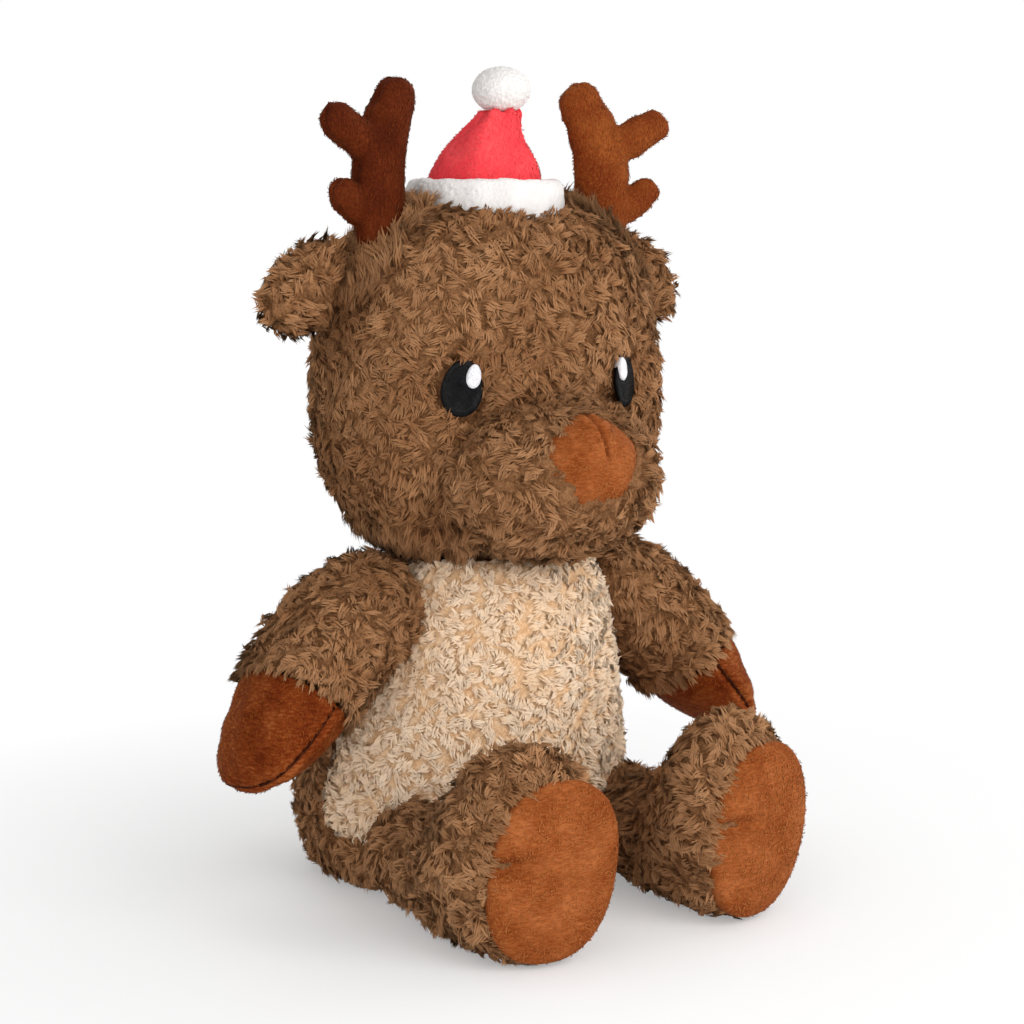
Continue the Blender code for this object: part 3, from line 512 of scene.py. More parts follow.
class Finishes:
    """Every finish of the deer, made once."""

    def __init__(self) -> None:
        """Makes the materials."""
        brown = ("5A371F", "7A5032", "976C48"), ("74492C", "9C6F4A", "BA8C65")
        # Brown teddy pile: roots painted dark as the shade between locks, matt curls and paler tips.
        brown_pile = PileFinish("brown_teddy_pile", *brown, sheen_colour="C79A6C").material()
        # Cream teddy pile: warm shade between the curls and nearly white tips.
        cream_pile = PileFinish(
            "cream_teddy_pile", ("D3A780", "E9C29B", "F2D7B8"), ("E4BD95", "F3D5B4", "FAE7D0"),
            sheen_colour="F3DCC0").material()
        # Short rust velour nap on nose and soles: a dusty orange brown.
        rust_nap = PileFinish(
            "rust_velour_nap", ("80421A", "8E4C24", "9C582C"), ("8E4C24", "9C582C", "B06E3C"), 0.75, 0.1,
            "D08A55").material()
        # The same velour on the paws, painted darker all over as painted shade of nap turned away from the
        # light.
        paw_nap_painted_shade = PileFinish(
            "rust_paw_velour_nap_painted_shade", ("5E2407", "6E2F0E", "7E3C14"), ("6E2F0E", "824014", "9A5424"), 0.75, 0.1,
            "C07A45").material()
        # Antler nap in a lit and a shaded copy: nearly maroon on the right as painted shade, ginger on the left
        # as painted light.
        antler_nap_painted_light_and_shade = {
            Side.RIGHT: PileFinish(
                "rust_antler_velour_nap_painted_shade", ("3A1002", "4A1804", "5A220A"), ("4A1804", "5E260A",
                                                                                      "783814"),
                0.75, 0.1, "C58550").material(),
            Side.LEFT: PileFinish(
                "rust_antler_velour_nap_painted_light", ("5E220A", "743414", "8A4820"), ("6E3010", "864519",
                                                                                        "A0602E"),
                0.75, 0.1, "C58550").material(),
        }
        # Red velour nap: a flat bright red, its lock tips painted paler pink as painted highlight.
        red_nap = PileFinish(
            "red_velour_nap", ("E03A44", "EA444B", "F25056"), ("E84249", "F25056",
                                                               "FA6565"), 0.8, 0.0).material()
        # The knitted backing that shows between the brown locks, its brown darkened to the shade of the gaps as
        # painted shade.
        brown_cloth = ClothFinish(
            "brown_pile_backing_painted_shade", ("56381F", "785235", "956C49"), patch=6 * MM, grain=1.0 * MM,
            stretch=(1, 1, 1), sheen=0.0, bump=0.8, roughness=0.95).material()
        # The knitted backing that shows between the cream locks.
        cream_cloth = ClothFinish(
            "cream_pile_backing", ("CA9E74", "E2B98F", "F0D0AC"), patch=5 * MM, grain=1.0 * MM,
            stretch=(1, 1, 1), sheen=0.0, bump=0.8, roughness=0.95).material()
        # Crimped white fleece of cuff and pompom: soft grey hollows, no gloss.
        white_cloth = ClothFinish(
            "white_fleece", ("DCD8D5", "E3DFDC", "E9E6E4"), grain=0.6 * MM, stretch=(1, 1, 1),
            sheen=0.0, roughness=0.95, bump=0.5).material()
        # Rust velour under its nap: mottled by hand strokes, faintly streaked.
        rust_velour = ClothFinish(
            "rust_velour", ("743612", "8E4B22", "A66034"), stretch=(0.35, 0.35,
                                                                    1.3), grain=0.9 * MM, sheen=0.12,
                                                                    sheen_colour="D08A55").material()
        # Paw velour under its nap: red-brown with lighter patches, painted darker than the velour of nose and
        # soles as painted shade.
        paw_velour = ClothFinish(
            "rust_paw_velour", ("581F04", "74320F", "98552A"), stretch=(0.4, 0.4,
                                                                        1.2), sheen=0.2,
                                                                        sheen_colour="C07A45").material()
        # Antler velour under its nap, in a lit and a shaded copy: darker on the right as painted shade, lighter
        # on the left as painted light.
        antler_velour = {
            Side.RIGHT: ClothFinish(
                "rust_antler_velour_painted_shade", ("3E1304", "4E1B06", "622A0E"), grain=0.7 * MM, sheen=0.1,
                sheen_colour="C58550").material(),
            Side.LEFT: ClothFinish(
                "rust_antler_velour_painted_light", ("66280C", "7A3A16", "925022"), grain=0.7 * MM, sheen=0.1,
                sheen_colour="C58550").material(),
        }
        # Red hat velour: an even dye with little grain.
        red_velour = ClothFinish(
            "red_velour", ("E43742", "EE444B", "F45558"), grain=0.8 * MM, bump=0.15, sheen=0.0).material()
        # Black satin stitch: rows of thread with a dull shine.
        black_thread = ClothFinish(
            "black_satin_thread", ("050506", "0B0B0C", "1C1C1E"), patch=3 * MM, grain=0.5 * MM,
            roughness=0.35, sheen=0.0, bump=0.8, gloss=0.08).material()
        # Sewing thread of the paw seam, sunk in its groove: real thread, coloured dark partly as painted shade
        # of the groove.
        seam_thread = ClothFinish(
            "dark_sewing_thread", ("240B03", "341206", "5A2C14"), patch=3 * MM, grain=0.6 * MM,
            roughness=0.8, sheen=0.0, bump=0.5).material()
        # White satin stitch of the glints.
        white_thread = ClothFinish(
            "white_satin_thread", ("CFCED2", "E6E5E8", "F6F5F8"), patch=3 * MM, grain=0.5 * MM,
            roughness=0.4, sheen=0.0, bump=0.15).material()
        self.brown = Cloth("brown_teddy_pile", brown_cloth, brown_pile)
        self.cream = Cloth("cream_teddy_pile", cream_cloth, cream_pile)
        self.rust = Cloth("rust_velour", rust_velour, rust_nap)
        self.paw = Cloth("rust_paw_velour", paw_velour, paw_nap_painted_shade)
        self.antler = {side: Cloth("rust_antler_velour", antler_velour[side],
                                   antler_nap_painted_light_and_shade[side]) for side in Side}
        self.red = Cloth("red_velour", red_velour, red_nap)
        self.white = Cloth("white_plush", white_cloth)
        self.black = Cloth("black_thread", black_thread)
        self.glint = Cloth("white_thread", white_thread)
        self.seam = Cloth("rust_paw_velour", seam_thread)


@dataclass(frozen=True)
class Pile:
    """How pile grows: tufts of tapered locks that rise from the cloth, lean over and meet near their tips.

    Each lock is a spindle that follows a cubic curve from its root through a point above it to the
    tuft's tip: a root point, a ring of three points where it bends and a tip point.
    """

    tuft_spacing: float
    locks: int
    height: float
    lean: float
    width: float
    gather: float = 0.7
    sink: float = 0.8 * MM
    drop: float = 0.3
    swirl: float = 26 * MM
    flat: float = 0.6
    bend_at: float = 0.52
    roundness: float = 0.45
    tint: float = 0.5

    def grow(
        self, name: str, skin: Skin, keep: Keep, seed: int, material: bpy.types.Material, parts: int = 1,
        lowest: float = 0.5 * MM, toward: Array | None = None,
    ) -> list[bpy.types.Object]:
        """Grows the pile on a skin.

        Args:
            name: The piece's name, numbered where there are several parts.
            skin: What it grows on.
            keep: The share of tufts kept at each place and normal.
            seed: The random numbers' seed.
            material: The pile's finish.
            parts: Into how many pieces it is split, in bands of x.
            lowest: No point lies under this height.
            toward: A point that the tufts lean to, if they don't lean at random.

        Returns:
            The pieces.
        """
        rng = np.random.default_rng(seed)
        places, normals = skin.scatter(self.tuft_spacing, keep, rng)
        order = np.argsort(places[:, 1], kind="stable")
        pieces = []
        for number, chosen in enumerate(np.array_split(order, parts)):
            points, triangles, uv, shading = self.locks_on(places[chosen], normals[chosen], rng, toward)
            points[:, 2] = np.maximum(points[:, 2], lowest)
            label = name if parts == 1 else f"{name}_{number + 1}"
            piece = make_mesh(label, points, triangles, uv, shading)
            piece.data.materials.append(material)
            pieces.append(piece)
        return pieces

    def flow(self, places: Array, normals: Array, toward: Array | None) -> Array:
        """The way tufts lean: a swirling field pulled downwards or to a point, laid flat on the skin."""
        swirl = np.stack([waves(places, self.swirl, 11 + axis) for axis in range(3)], axis=1)
        fine = np.stack([waves(places, self.swirl / 3, 31 + axis) for axis in range(3)], axis=1)
        way = swirl + 1.2 * fine - np.array([0, 0, self.drop * 2])
        if toward is not None:
            way = 0.35 * way + 2 * unit(toward - places)
        return unit(way - normals * (way * normals).sum(axis=1, keepdims=True))

    def locks_on(
        self, places: Array, normals: Array, rng: np.random.Generator, toward: Array | None
    ) -> tuple[Array, NDArray[np.int64], Array, Array]:
        """All locks of the given tufts as one set of points, triangles, (tint, root-to-tip) map and normals.

        A lock is shaded mostly by the skin's own normal, because light passes between real fibres.

        Args:
            places: The tufts' places.
            normals: The skin's normals there.
            rng: The random numbers.
            toward: A point that the tufts lean to, or None.

        Returns:
            Points, triangles, map and shading normals.
        """
        tufts = len(places)
        way = self.flow(places, normals, toward)
        turn = rng.normal(0, 0.32, (tufts, 1))
        side = np.cross(normals, way)
        way = unit(way * np.cos(turn) + side * np.sin(turn))
        side = np.cross(normals, way)
        height = self.height * rng.uniform(0.75, 1.2, (tufts, 1))
        lean = self.lean * rng.uniform(0.7, 1.25, (tufts, 1))
        tuft_tint = (self.tint + 0.2 * waves(places, 30 * MM, 5) + 0.12 * waves(places, 9 * MM, 8)
                     + rng.normal(0, 0.1, tufts))

        def each(values: Array) -> Array:
            """Repeats each tuft's value for each of its locks."""
            return np.repeat(values, self.locks, axis=0)

        count = tufts * self.locks
        angle = rng.uniform(0, math.tau, (count, 1))
        radius = self.tuft_spacing * 0.62 * np.sqrt(rng.random((count, 1)))
        offset = each(way) * np.cos(angle) * radius + each(side) * np.sin(angle) * radius
        normal = each(normals)
        foot = each(places) + offset - normal * self.sink
        reach = rng.uniform(0.82, 1.12, (count, 1))
        tip = (each(places) + offset * (1 - self.gather) + normal * each(height) * reach
               + each(way) * each(lean) * reach + rng.normal(0, 0.2, (count, 3)) * self.height)
        rise = foot + normal * (each(height) * 0.75 + self.sink)
        bend = (foot + tip) / 2 + normal * each(height) * 0.62 + each(way) * each(lean) * 0.22
        share = self.bend_at
        middle = ((1 - share) ** 3 * foot + 3 * (1 - share) ** 2 * share * rise
                  + 3 * (1 - share) * share**2 * bend + share**3 * tip)
        run = unit(tip - foot)
        wide = unit(np.cross(run, normal))
        thick = np.cross(run, wide)
        half = self.width / 2 * rng.uniform(0.75, 1.3, (count, 1))
        ring, facing = [], []
        for corner in range(3):
            a = math.tau * (corner / 3 + 0.25)
            out = wide * math.cos(a) + thick * math.sin(a) * self.flat
            ring.append(middle + half * out)
            facing.append(unit(normal + self.roundness * out))
        points = np.stack([foot, *ring, tip], axis=1)
        shading = np.stack([normal, *facing, normal], axis=1)
        faces = np.array([(2, 1, 0), (3, 2, 0), (1, 3, 0), (1, 2, 4), (2, 3, 4), (3, 1, 4)])
        triangles = (np.arange(count) * points.shape[1])[:, None, None] + faces
        tint = (each(tuft_tint[:, None])[:, 0] + rng.normal(0, 0.08, count)).clip(0.03, 0.95)
        u = tint[:, None] + np.array([1, 0, 1, 2, 1])[None] * 0.01
        v = np.broadcast_to(np.array([0, share, share, share, 1.0]), u.shape)
        uv = np.stack([u, v], axis=-1).reshape(-1, 2)
        return points.reshape(-1, 3), triangles.reshape(-1, 3), uv, shading.reshape(-1, 3)


def everywhere(places: Array, normals: Array) -> Array:
    """Keeps every tuft."""
    return np.ones(len(places))


TEDDY = Pile(tuft_spacing=3.3 * MM, locks=9, height=1.9 * MM, lean=5.4 * MM, width=0.8 * MM, gather=0.5)
# The head's pile is a darker tint of the same pile, as painted shade.
HEAD_TEDDY_PAINTED_SHADE = replace(TEDDY, tint=0.33)
# The legs' pile is a lighter tint of the same pile, as painted light.
LEG_TEDDY_PAINTED_LIGHT = replace(TEDDY, tint=0.95)
BELLY_TEDDY = Pile(tuft_spacing=3.0 * MM, locks=10, height=1.9 * MM, lean=3.8 * MM, width=0.85 * MM, gather=0.5,
                   drop=0.15, swirl=16 * MM, flat=0.8)
FRINGE = Pile(tuft_spacing=2.3 * MM, locks=10, height=2.6 * MM, lean=5.2 * MM, width=0.8 * MM, gather=0.6)
NOSE_FRINGE = Pile(tuft_spacing=2.3 * MM, locks=9, height=2.2 * MM, lean=5.6 * MM, width=0.6 * MM, gather=0.5,
                   drop=3.0)
NECK_FRINGE = Pile(tuft_spacing=2.9 * MM, locks=13, height=4.6 * MM, lean=6.0 * MM, width=0.7 * MM, gather=0.6,
                   drop=3.0)
ANTLER_FRINGE = Pile(tuft_spacing=2.5 * MM, locks=13, height=5.2 * MM, lean=8.0 * MM, width=0.7 * MM,
                     gather=0.6,
                     drop=-2.5)
SHORT_NAP = Pile(tuft_spacing=1.55 * MM, locks=1, height=0.4 * MM, lean=1.6 * MM, width=0.6 * MM,
                 sink=0.3 * MM, drop=0.9, swirl=40 * MM, flat=0.35)


@dataclass
class Workshop:
    """What every sub-assembly needs: the finishes, the shift in the frame and a way to hand pieces in."""

    finishes: Finishes
    shift: Array

    def dress(
        self, skin: Skin, name: str, body: str, cloth: Cloth,
        stands_for: Sequence[str] = (), fill: float | None = 0.7,
    ) -> bpy.types.Object:
        """Makes a skin a piece of the scene.

        Args:
            skin: The skin, in the frame.
            name: The piece's name.
            body: The body it moves with.
            cloth: Its cloth.
            stands_for: The CAD nodes it replaces.
            fill: How full it is stuffed, or None where it isn't padded; not used.

        Returns:
            The piece.
        """
        piece = make_mesh(name, skin.points, skin.triangles)
        piece.data.materials.append(cloth.surface)
        self.hand_in([piece], body)
        if stands_for:
            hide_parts(*stands_for)
        return piece

    def plant(
        self, pile: Pile, body: str, name: str, skin: Skin, keep: Keep, seed: int, cloth: Cloth,
        parts: int = 1, lowest: float = 0.5 * MM, toward: Array | None = None,
    ) -> None:
        """Grows pile on a skin and lets it ride on a body. The other arguments are those of Pile.grow."""
        pieces = pile.grow(name, skin, keep, seed, cloth.pile, parts, lowest, toward)
        self.hand_in(pieces, body)

    def hand_in(self, pieces: Sequence[bpy.types.Object], body: str) -> None:
        """Makes pieces ride on a body and logs their triangle counts."""
        for piece in pieces:
            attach(piece, body)
            LOG.info("%s: %d triangles on %s", piece.name, len(piece.data.polygons), body)


@dataclass
class Torso:
    """The pear-shaped body: back cloth with brown pile, and the cream belly panel sewn into its front."""

    shop: Workshop
    hip_out: float = 49.5 * MM
    hip_height: float = 23 * MM
    hip_radius: float = 17 * MM
    hip_back: float = 16 * MM
    height: float = 141 * MM
    half_width: float = 70 * MM
    half_depth: float = 63 * MM
    lean: float = 23 * MM
    belly_bottom: float = 23 * MM
    belly_corner: float = 12 * MM
    belly_side_share: float = 0.05
    panel_wall: float = 1.6 * MM
    ring_shares: tuple[tuple[float, float, float, float], ...] = (
        (0.00, 0.78, 0.78, 0.95),
        (0.05, 0.92, 0.92, 0.98),
        (0.17, 0.99, 0.99, 1.00),
        (0.33, 1.00, 1.00, 0.92),
        (0.52, 0.91, 0.90, 0.60),
        (0.70, 0.79, 0.77, 0.25),
        (0.86, 0.71, 0.67, 0.00),
        (0.96, 0.62, 0.59, 0.00),
        (1.00, 0.47, 0.48, 0.00),
    )

    def form(self) -> Form:
        """Rings that face up, each with its own width, depth and lean."""
        table = np.array(self.ring_shares)
        centres = np.zeros((len(table), 3))
        centres[:, 1] = table[:, 3] * self.lean
        centres[:, 2] = table[:, 0] * self.height
        centres[0, 2] = -0.5 * MM
        halves = table[:, 1:3] * (self.half_width, self.half_depth)
        return square_rings(centres + self.shop.shift, UP, ACROSS, halves)

    def in_belly(self, form: Form, places: Array) -> Array:
        """How far inside the belly panel's outline each place lies, in metres, less than zero outside.

        The outline is the side seam in front, and the bottom seam with a rounded corner between them.
        """
        along = np.linspace(0, form.length, 400)
        centre, _, other = form.rows(along)
        heights = np.maximum.accumulate(centre[:, 2])
        middle = np.interp(places[:, 2], heights, centre[:, 1])
        deep = np.interp(places[:, 2], heights, other[:, 1])
        from_side = middle - self.belly_side_share * deep - places[:, 1]
        from_bottom = places[:, 2] - self.belly_bottom
        corner = self.belly_corner - np.hypot(
            np.maximum(self.belly_corner - from_side, 0), np.maximum(self.belly_corner - from_bottom, 0))
        return np.minimum(corner, np.minimum(from_side, from_bottom))

    def build(self) -> None:
        """Back cloth, belly panel and both piles."""
        form = self.form()
        base = form.skin(per_ring=10, steps=180)
        inside = self.in_belly(form, base.points)
        sunk = -5.2 * MM * smooth_step(inside, -1.5 * MM, 1.5 * MM)
        back = base.crimped().raised(sunk).on_floor()
        finishes = self.shop.finishes
        self.shop.dress(back, "back_cloth", "torso", finishes.brown,
                        ["body_skin", "body_filling", "pellet_pouch"])

        def keep_back(places: Array, normals: Array) -> Array:
            """Off the belly, off the neck, and thin under the seat."""
            off_belly = self.in_belly(form, places) < 0.4 * MM
            off_neck = places[:, 2] < self.height - 3 * MM
            under = np.where((places[:, 2] < 2 * MM) & (normals[:, 2] < -0.6), 0.15, 1.0)
            local = places - self.shop.shift
            from_hip = np.hypot(np.abs(local[:, 0]) - self.hip_out, local[:, 2] - self.hip_height)
            in_leg = from_hip < self.hip_radius
            return off_belly * off_neck * under * ~(in_leg & (local[:, 1] < -self.hip_back))

        self.shop.plant(TEDDY, "torso", "back_pile", back, keep_back, 21, finishes.brown, parts=2)
        self.build_belly(form)

    def build_belly(self, form: Form) -> None:
        """The cream panel: rows of the body's rings between the side seams, its rim pulled in."""
        along = np.linspace(0, form.length, 600)
        centre, _, other = form.rows(along)
        heights = np.maximum.accumulate(centre[:, 2])
        rows = np.linspace(self.belly_bottom + 0.3 * MM, self.height - 2 * MM, 84)
        at = np.interp(rows, heights, along)
        deep = np.interp(rows, heights, other[:, 1])
        up = np.clip(self.belly_corner - (rows - self.belly_bottom), 0, self.belly_corner)
        corner = self.belly_corner
        side = self.belly_side_share * deep + corner - np.sqrt(corner**2 - up**2) + 0.3 * MM
        widest = math.pi / 2 - np.arcsin(np.clip(side / deep, 0, 1))
        swing = np.linspace(-1, 1, 130)
        angle = -math.pi / 2 + widest[:, None] * swing[None]
        middle, across, tall = form.rows(at)
        outer = (middle[:, None] + across[:, None] * np.cos(angle)[..., None]
                 + tall[:, None] * np.sin(angle)[..., None])
        flat = outer.reshape(-1, 3)
        inside = self.in_belly(form, flat)
        out = unit(flat - np.repeat(middle, len(swing), axis=0) + np.array([0, 0, 1e-5]))
        curls = 0.9 * MM * (0.5 - np.abs(waves(flat, 4.2 * MM, 6))) + 0.3 * MM * waves(flat, 2.2 * MM, 7)
        full = (1.4 * MM * smooth_step(inside, 0, 14 * MM) + curls * smooth_step(inside, 0, 3 * MM)
                - 1.8 * MM * np.exp(-np.maximum(inside, 0) / (2 * MM)))
        top = (flat + out * full[:, None]).reshape(outer.shape)
        bottom = (flat + out * (full - self.panel_wall)[:, None]).reshape(outer.shape)
        panel = slab(top, bottom)
        finishes = self.shop.finishes
        self.shop.dress(panel, "belly_cloth", "torso", finishes.cream, ["belly_panel"], 0.8)

        def keep_belly(places: Array, normals: Array) -> Array:
            """The panel's outer face, off the neck."""
            outwards = np.stack([places[:, 0] - self.shop.shift[0], places[:, 1] - self.shop.shift[1] - 20 * MM,
                                 np.zeros(len(places))], axis=1)
            return ((normals * outwards).sum(axis=1) > 0) * (places[:, 2] < self.height - 2.5 * MM)

        self.shop.plant(BELLY_TEDDY, "torso", "belly_pile", panel, keep_belly, 22, finishes.cream)


@dataclass
class Head:
    """The wide rounded head with its muzzle, nose, eyes and ears."""

    shop: Workshop
    hat_back: float = 2 * MM
    hat_radius: float = 33.5 * MM
    hat_from: float = 262 * MM
    antler_out: float = 53 * MM
    antler_forward: float = 4 * MM
    antler_from: float = 236 * MM
    ear_out: float = 66.7 * MM
    ear_lean: float = math.radians(27.8)
    neck: float = 141 * MM
    height: float = 141 * MM
    half_width: float = 73 * MM
    half_depth: float = 50 * MM
    squareness: float = 2.3
    muzzle_forward: float = 42 * MM
    muzzle_height: float = 173.5 * MM
    muzzle_half_width: float = 46 * MM
    muzzle_half_height: float = 32 * MM
    muzzle_reach: float = 36 * MM
    nose_forward: float = 67 * MM
    nose_height: float = 181 * MM
    nose_half_width: float = 22 * MM
    nose_half_height: float = 19 * MM
    nose_reach: float = 16 * MM
    eye_out: tuple[float, float] = (41.6 * MM, 36.5 * MM)
    eye_height: float = 211 * MM
    eye_clear: tuple[float, float] = (0.0, -0.4 * MM)
    eye_tilt: float = math.radians(9)
    eye_half_width: float = 8.3 * MM
    eye_half_height: float = 11.2 * MM
    ear_back: float = 6 * MM
    ear_height: float = 249 * MM
    ear_length: float = 27 * MM
    ear_droop: float = 13 * MM
    ear_half_height: float = 19.5 * MM
    ear_half_depth: float = 9 * MM
    ring_shares: tuple[tuple[float, float, float], ...] = (
        (0.00, 0.44, 0.58),
        (0.08, 0.76, 0.84),
        (0.24, 0.98, 0.99),
        (0.45, 1.02, 1.03),
        (0.66, 0.98, 0.99),
        (0.85, 0.82, 0.85),
        (0.95, 0.62, 0.67),
        (1.00, 0.36, 0.44),
    )
    muzzle_shares: tuple[tuple[float, float], ...] = (
        (-0.70, 0.80),
        (-0.20, 0.99),
        (0.25, 0.98),
        (0.60, 0.84),
        (0.86, 0.58),
        (1.00, 0.26),
    )
    ear_shares: tuple[tuple[float, float, float], ...] = (
        (-0.22, 0.64, 0.58),
        (0.00, 0.80, 0.66),
        (0.30, 0.97, 0.90),
        (0.62, 1.00, 1.00),
        (0.86, 0.82, 0.80),
        (1.00, 0.46, 0.46),
    )

    def form(self) -> Form:
        """Rings from the neck to the crown, a little squarer than ellipses."""
        table = np.array(self.ring_shares)
        centres = np.zeros((len(table), 3))
        centres[:, 2] = self.neck + table[:, 0] * self.height + 0.15 * MM
        halves = table[:, 1:3] * (self.half_width, self.half_depth)
        return square_rings(centres + self.shop.shift, UP, ACROSS, halves, self.squareness)

    def muzzle_form(self) -> Form:
        """Rings that run forward out of the face."""
        table = np.array(self.muzzle_shares)
        centres = np.zeros((len(table), 3))
        centres[:, 1] = -self.muzzle_forward - table[:, 0] * self.muzzle_reach
        centres[:, 2] = self.muzzle_height
        halves = table[:, 1:] * (self.muzzle_half_width, self.muzzle_half_height)
        return square_rings(centres + self.shop.shift, np.array([0, -1.0, 0]), ACROSS, halves)

    def in_muzzle(self, places: Array, margin: float) -> Array:
        """Whether each place lies inside the muzzle, by the size of the muzzle's ring at its depth."""
        table = np.array(self.muzzle_shares)
        local = places - self.shop.shift
        forward = (-local[:, 1] - self.muzzle_forward) / self.muzzle_reach
        size = np.interp(forward, table[:, 0], table[:, 1], left=table[0, 1], right=0.01)
        wide = local[:, 0] / (size * self.muzzle_half_width - margin)
        tall = (local[:, 2] - self.muzzle_height) / (size * self.muzzle_half_height - margin)
        return (wide**2 + tall**2 < 1) & (forward > -1.2)

    def in_nose(self, places: Array, margin: float) -> Array:
        """Whether each place lies under the nose, seen from the front."""
        local = places - self.shop.shift
        wide = local[:, 0] / (self.nose_half_width + margin)
        tall = (local[:, 2] - self.nose_height) / (self.nose_half_height + margin)
        return (wide**2 + tall**2 < 1) & (local[:, 1] < -self.muzzle_forward)

    def in_eye(self, places: Array, margin: float) -> Array:
        """Whether each place lies under an eye, seen from the front."""
        local = places - self.shop.shift
        out = np.where(local[:, 0] < 0, *self.eye_out)
        wide = (np.abs(local[:, 0]) - out) / (self.eye_half_width + margin)
        tall = (local[:, 2] - self.eye_height) / (self.eye_half_height + margin)
        return (wide**2 + tall**2 < 1) & (local[:, 1] < 0)

    def under_hat(self, places: Array) -> Array:
        """Whether each place lies inside the hat's cuff."""
        local = places - self.shop.shift
        inside = np.hypot(local[:, 0], local[:, 1] - self.hat_back) < self.hat_radius
        return inside & (local[:, 2] > self.hat_from)

    def build(self) -> None:
        """Head, muzzle, nose, eyes and ears."""
        finishes = self.shop.finishes
        smooth = self.form().skin(per_ring=10, steps=190)
        around_eyes = self.in_eye(smooth.points, 2.5 * MM) | self.under_hat(smooth.points)
        crease = self.in_muzzle(smooth.points, -7 * MM) & ~self.in_muzzle(smooth.points, 3 * MM)
        head = smooth.crimped().raised(-3.8 * MM * around_eyes - 3.2 * MM * crease)
        self.shop.dress(head, "head_cloth", "head", finishes.brown, ["head_skin", "head_filling"])

        def keep_head(places: Array, normals: Array) -> Array:
            """Off the muzzle, the eyes, the hat and the neck."""
            neck = (places[:, 2] < self.neck + 1.5 * MM) & (normals[:, 2] < -0.8)
            eyes = self.in_eye(places, self.eye_clear[0]) & (places[:, 0] < self.shop.shift[0])
            eyes |= self.in_eye(places, self.eye_clear[1]) & (places[:, 0] > self.shop.shift[0])
            off = self.in_muzzle(places, 3 * MM) | eyes | self.under_hat(places) | neck
            return (~off).astype(float)

        # The head's pile is tinted darker as painted shade.
        self.shop.plant(HEAD_TEDDY_PAINTED_SHADE, "head", "head_pile", head, keep_head, 31, finishes.brown, parts=3)

        def under_chin(places: Array, normals: Array) -> Array:
            """The head's underside, outside the neck seam."""
            return (normals[:, 2] < -0.3) * (places[:, 2] < self.neck + 17 * MM) * (
                places[:, 2] > self.neck + 1.5 * MM)

        self.shop.plant(NECK_FRINGE, "head", "neck_fringe", head, under_chin, 35, finishes.brown)

        def round_antlers(places: Array, normals: Array) -> Array:
            """A ring round each antler's foot."""
            local = places - self.shop.shift
            near = np.hypot(np.abs(local[:, 0]) - self.antler_out, local[:, 1] + self.antler_forward)
            return (near < 19 * MM) * (near > 7 * MM) * (local[:, 2] > self.antler_from)

        self.shop.plant(ANTLER_FRINGE, "head", "antler_fringe", head, round_antlers, 36, finishes.brown)
        muzzle = self.muzzle_form().skin(per_ring=10, steps=140).crimped()
        self.shop.dress(muzzle, "muzzle_cloth", "head", finishes.brown, ["muzzle"])
        head_box = self.half_depth - 3 * MM

        def keep_muzzle(places: Array, normals: Array) -> Array:
            """What stands out of the face, off the nose."""
            proud = -(places[:, 1] - self.shop.shift[1]) > head_box - 6 * MM
            return proud * ~self.in_nose(places, 1.5 * MM) * (normals[:, 1] < 0.5)

        self.shop.plant(TEDDY, "head", "muzzle_pile", muzzle, keep_muzzle, 32, finishes.brown)

        def above_nose(places: Array, normals: Array) -> Array:
            """A band along the nose's top edge."""
            band = self.in_nose(places, 2.2 * MM) & ~self.in_nose(places, -2.0 * MM)
            return band * (places[:, 2] > self.nose_height + 9 * MM)

        self.shop.plant(NOSE_FRINGE, "head", "nose_fringe", muzzle, above_nose, 34, finishes.brown)
        self.build_nose()
        for side in Side:
            self.build_eye(side, smooth)
            self.build_ear(side)

    def build_nose(self) -> None:
        """A rust velour dome with a rounded-corner outline and a dart sewn down from its top."""
        finishes = self.shop.finishes
        rows = np.linspace(0, math.pi, 80)
        steps = full_turn(200)
        forward, size = np.cos(rows)[:, None], np.sin(rows)[:, None]
        size = np.abs(size) ** 0.82
        corners = 1 + 0.035 * np.cos(5 * (steps - math.pi / 2))[None]
        wide, tall = np.cos(steps)[None], np.sin(steps)[None]
        centre = np.array([0, -self.nose_forward, self.nose_height]) + self.shop.shift
        grid = np.stack([
            centre[0] + size * corners * wide * self.nose_half_width,
            centre[1] - forward * self.nose_reach * np.ones_like(wide),
            centre[2] + size * corners * tall * self.nose_half_height,
        ], axis=-1)
        nose = closed_skin(grid, rows, steps)
        local = nose.points - centre
        off_dart = np.abs(local[:, 0] - 0.08 * (14 * MM - local[:, 2]))
        dart = np.exp(-((off_dart / (1.0 * MM)) ** 2)) * smooth_step(local[:, 2], -3 * MM, 6 * MM)
        sides = np.exp(-(((off_dart - 2.8 * MM) / (1.8 * MM)) ** 2)) * smooth_step(local[:, 2], -3 * MM,
                                                                                   10 * MM)
        nose = nose.raised((-2.6 * dart + 0.5 * sides) * MM * (local[:, 1] < 0))
        self.shop.dress(nose, "nose_velour", "head", finishes.rust, ["nose"], 0.8)

        def off_dart_line(places: Array, normals: Array) -> Array:
            """The front of the nose, off the dart."""
            line = np.abs(places[:, 0] - centre[0] - 0.08 * (14 * MM - places[:, 2] + centre[2])) < 1.3 * MM
            return (normals[:, 1] < 0.2) * ~(line & (places[:, 2] > centre[2] - 3 * MM))

        self.shop.plant(SHORT_NAP, "head", "nose_nap", nose, off_dart_line, 33, finishes.rust)

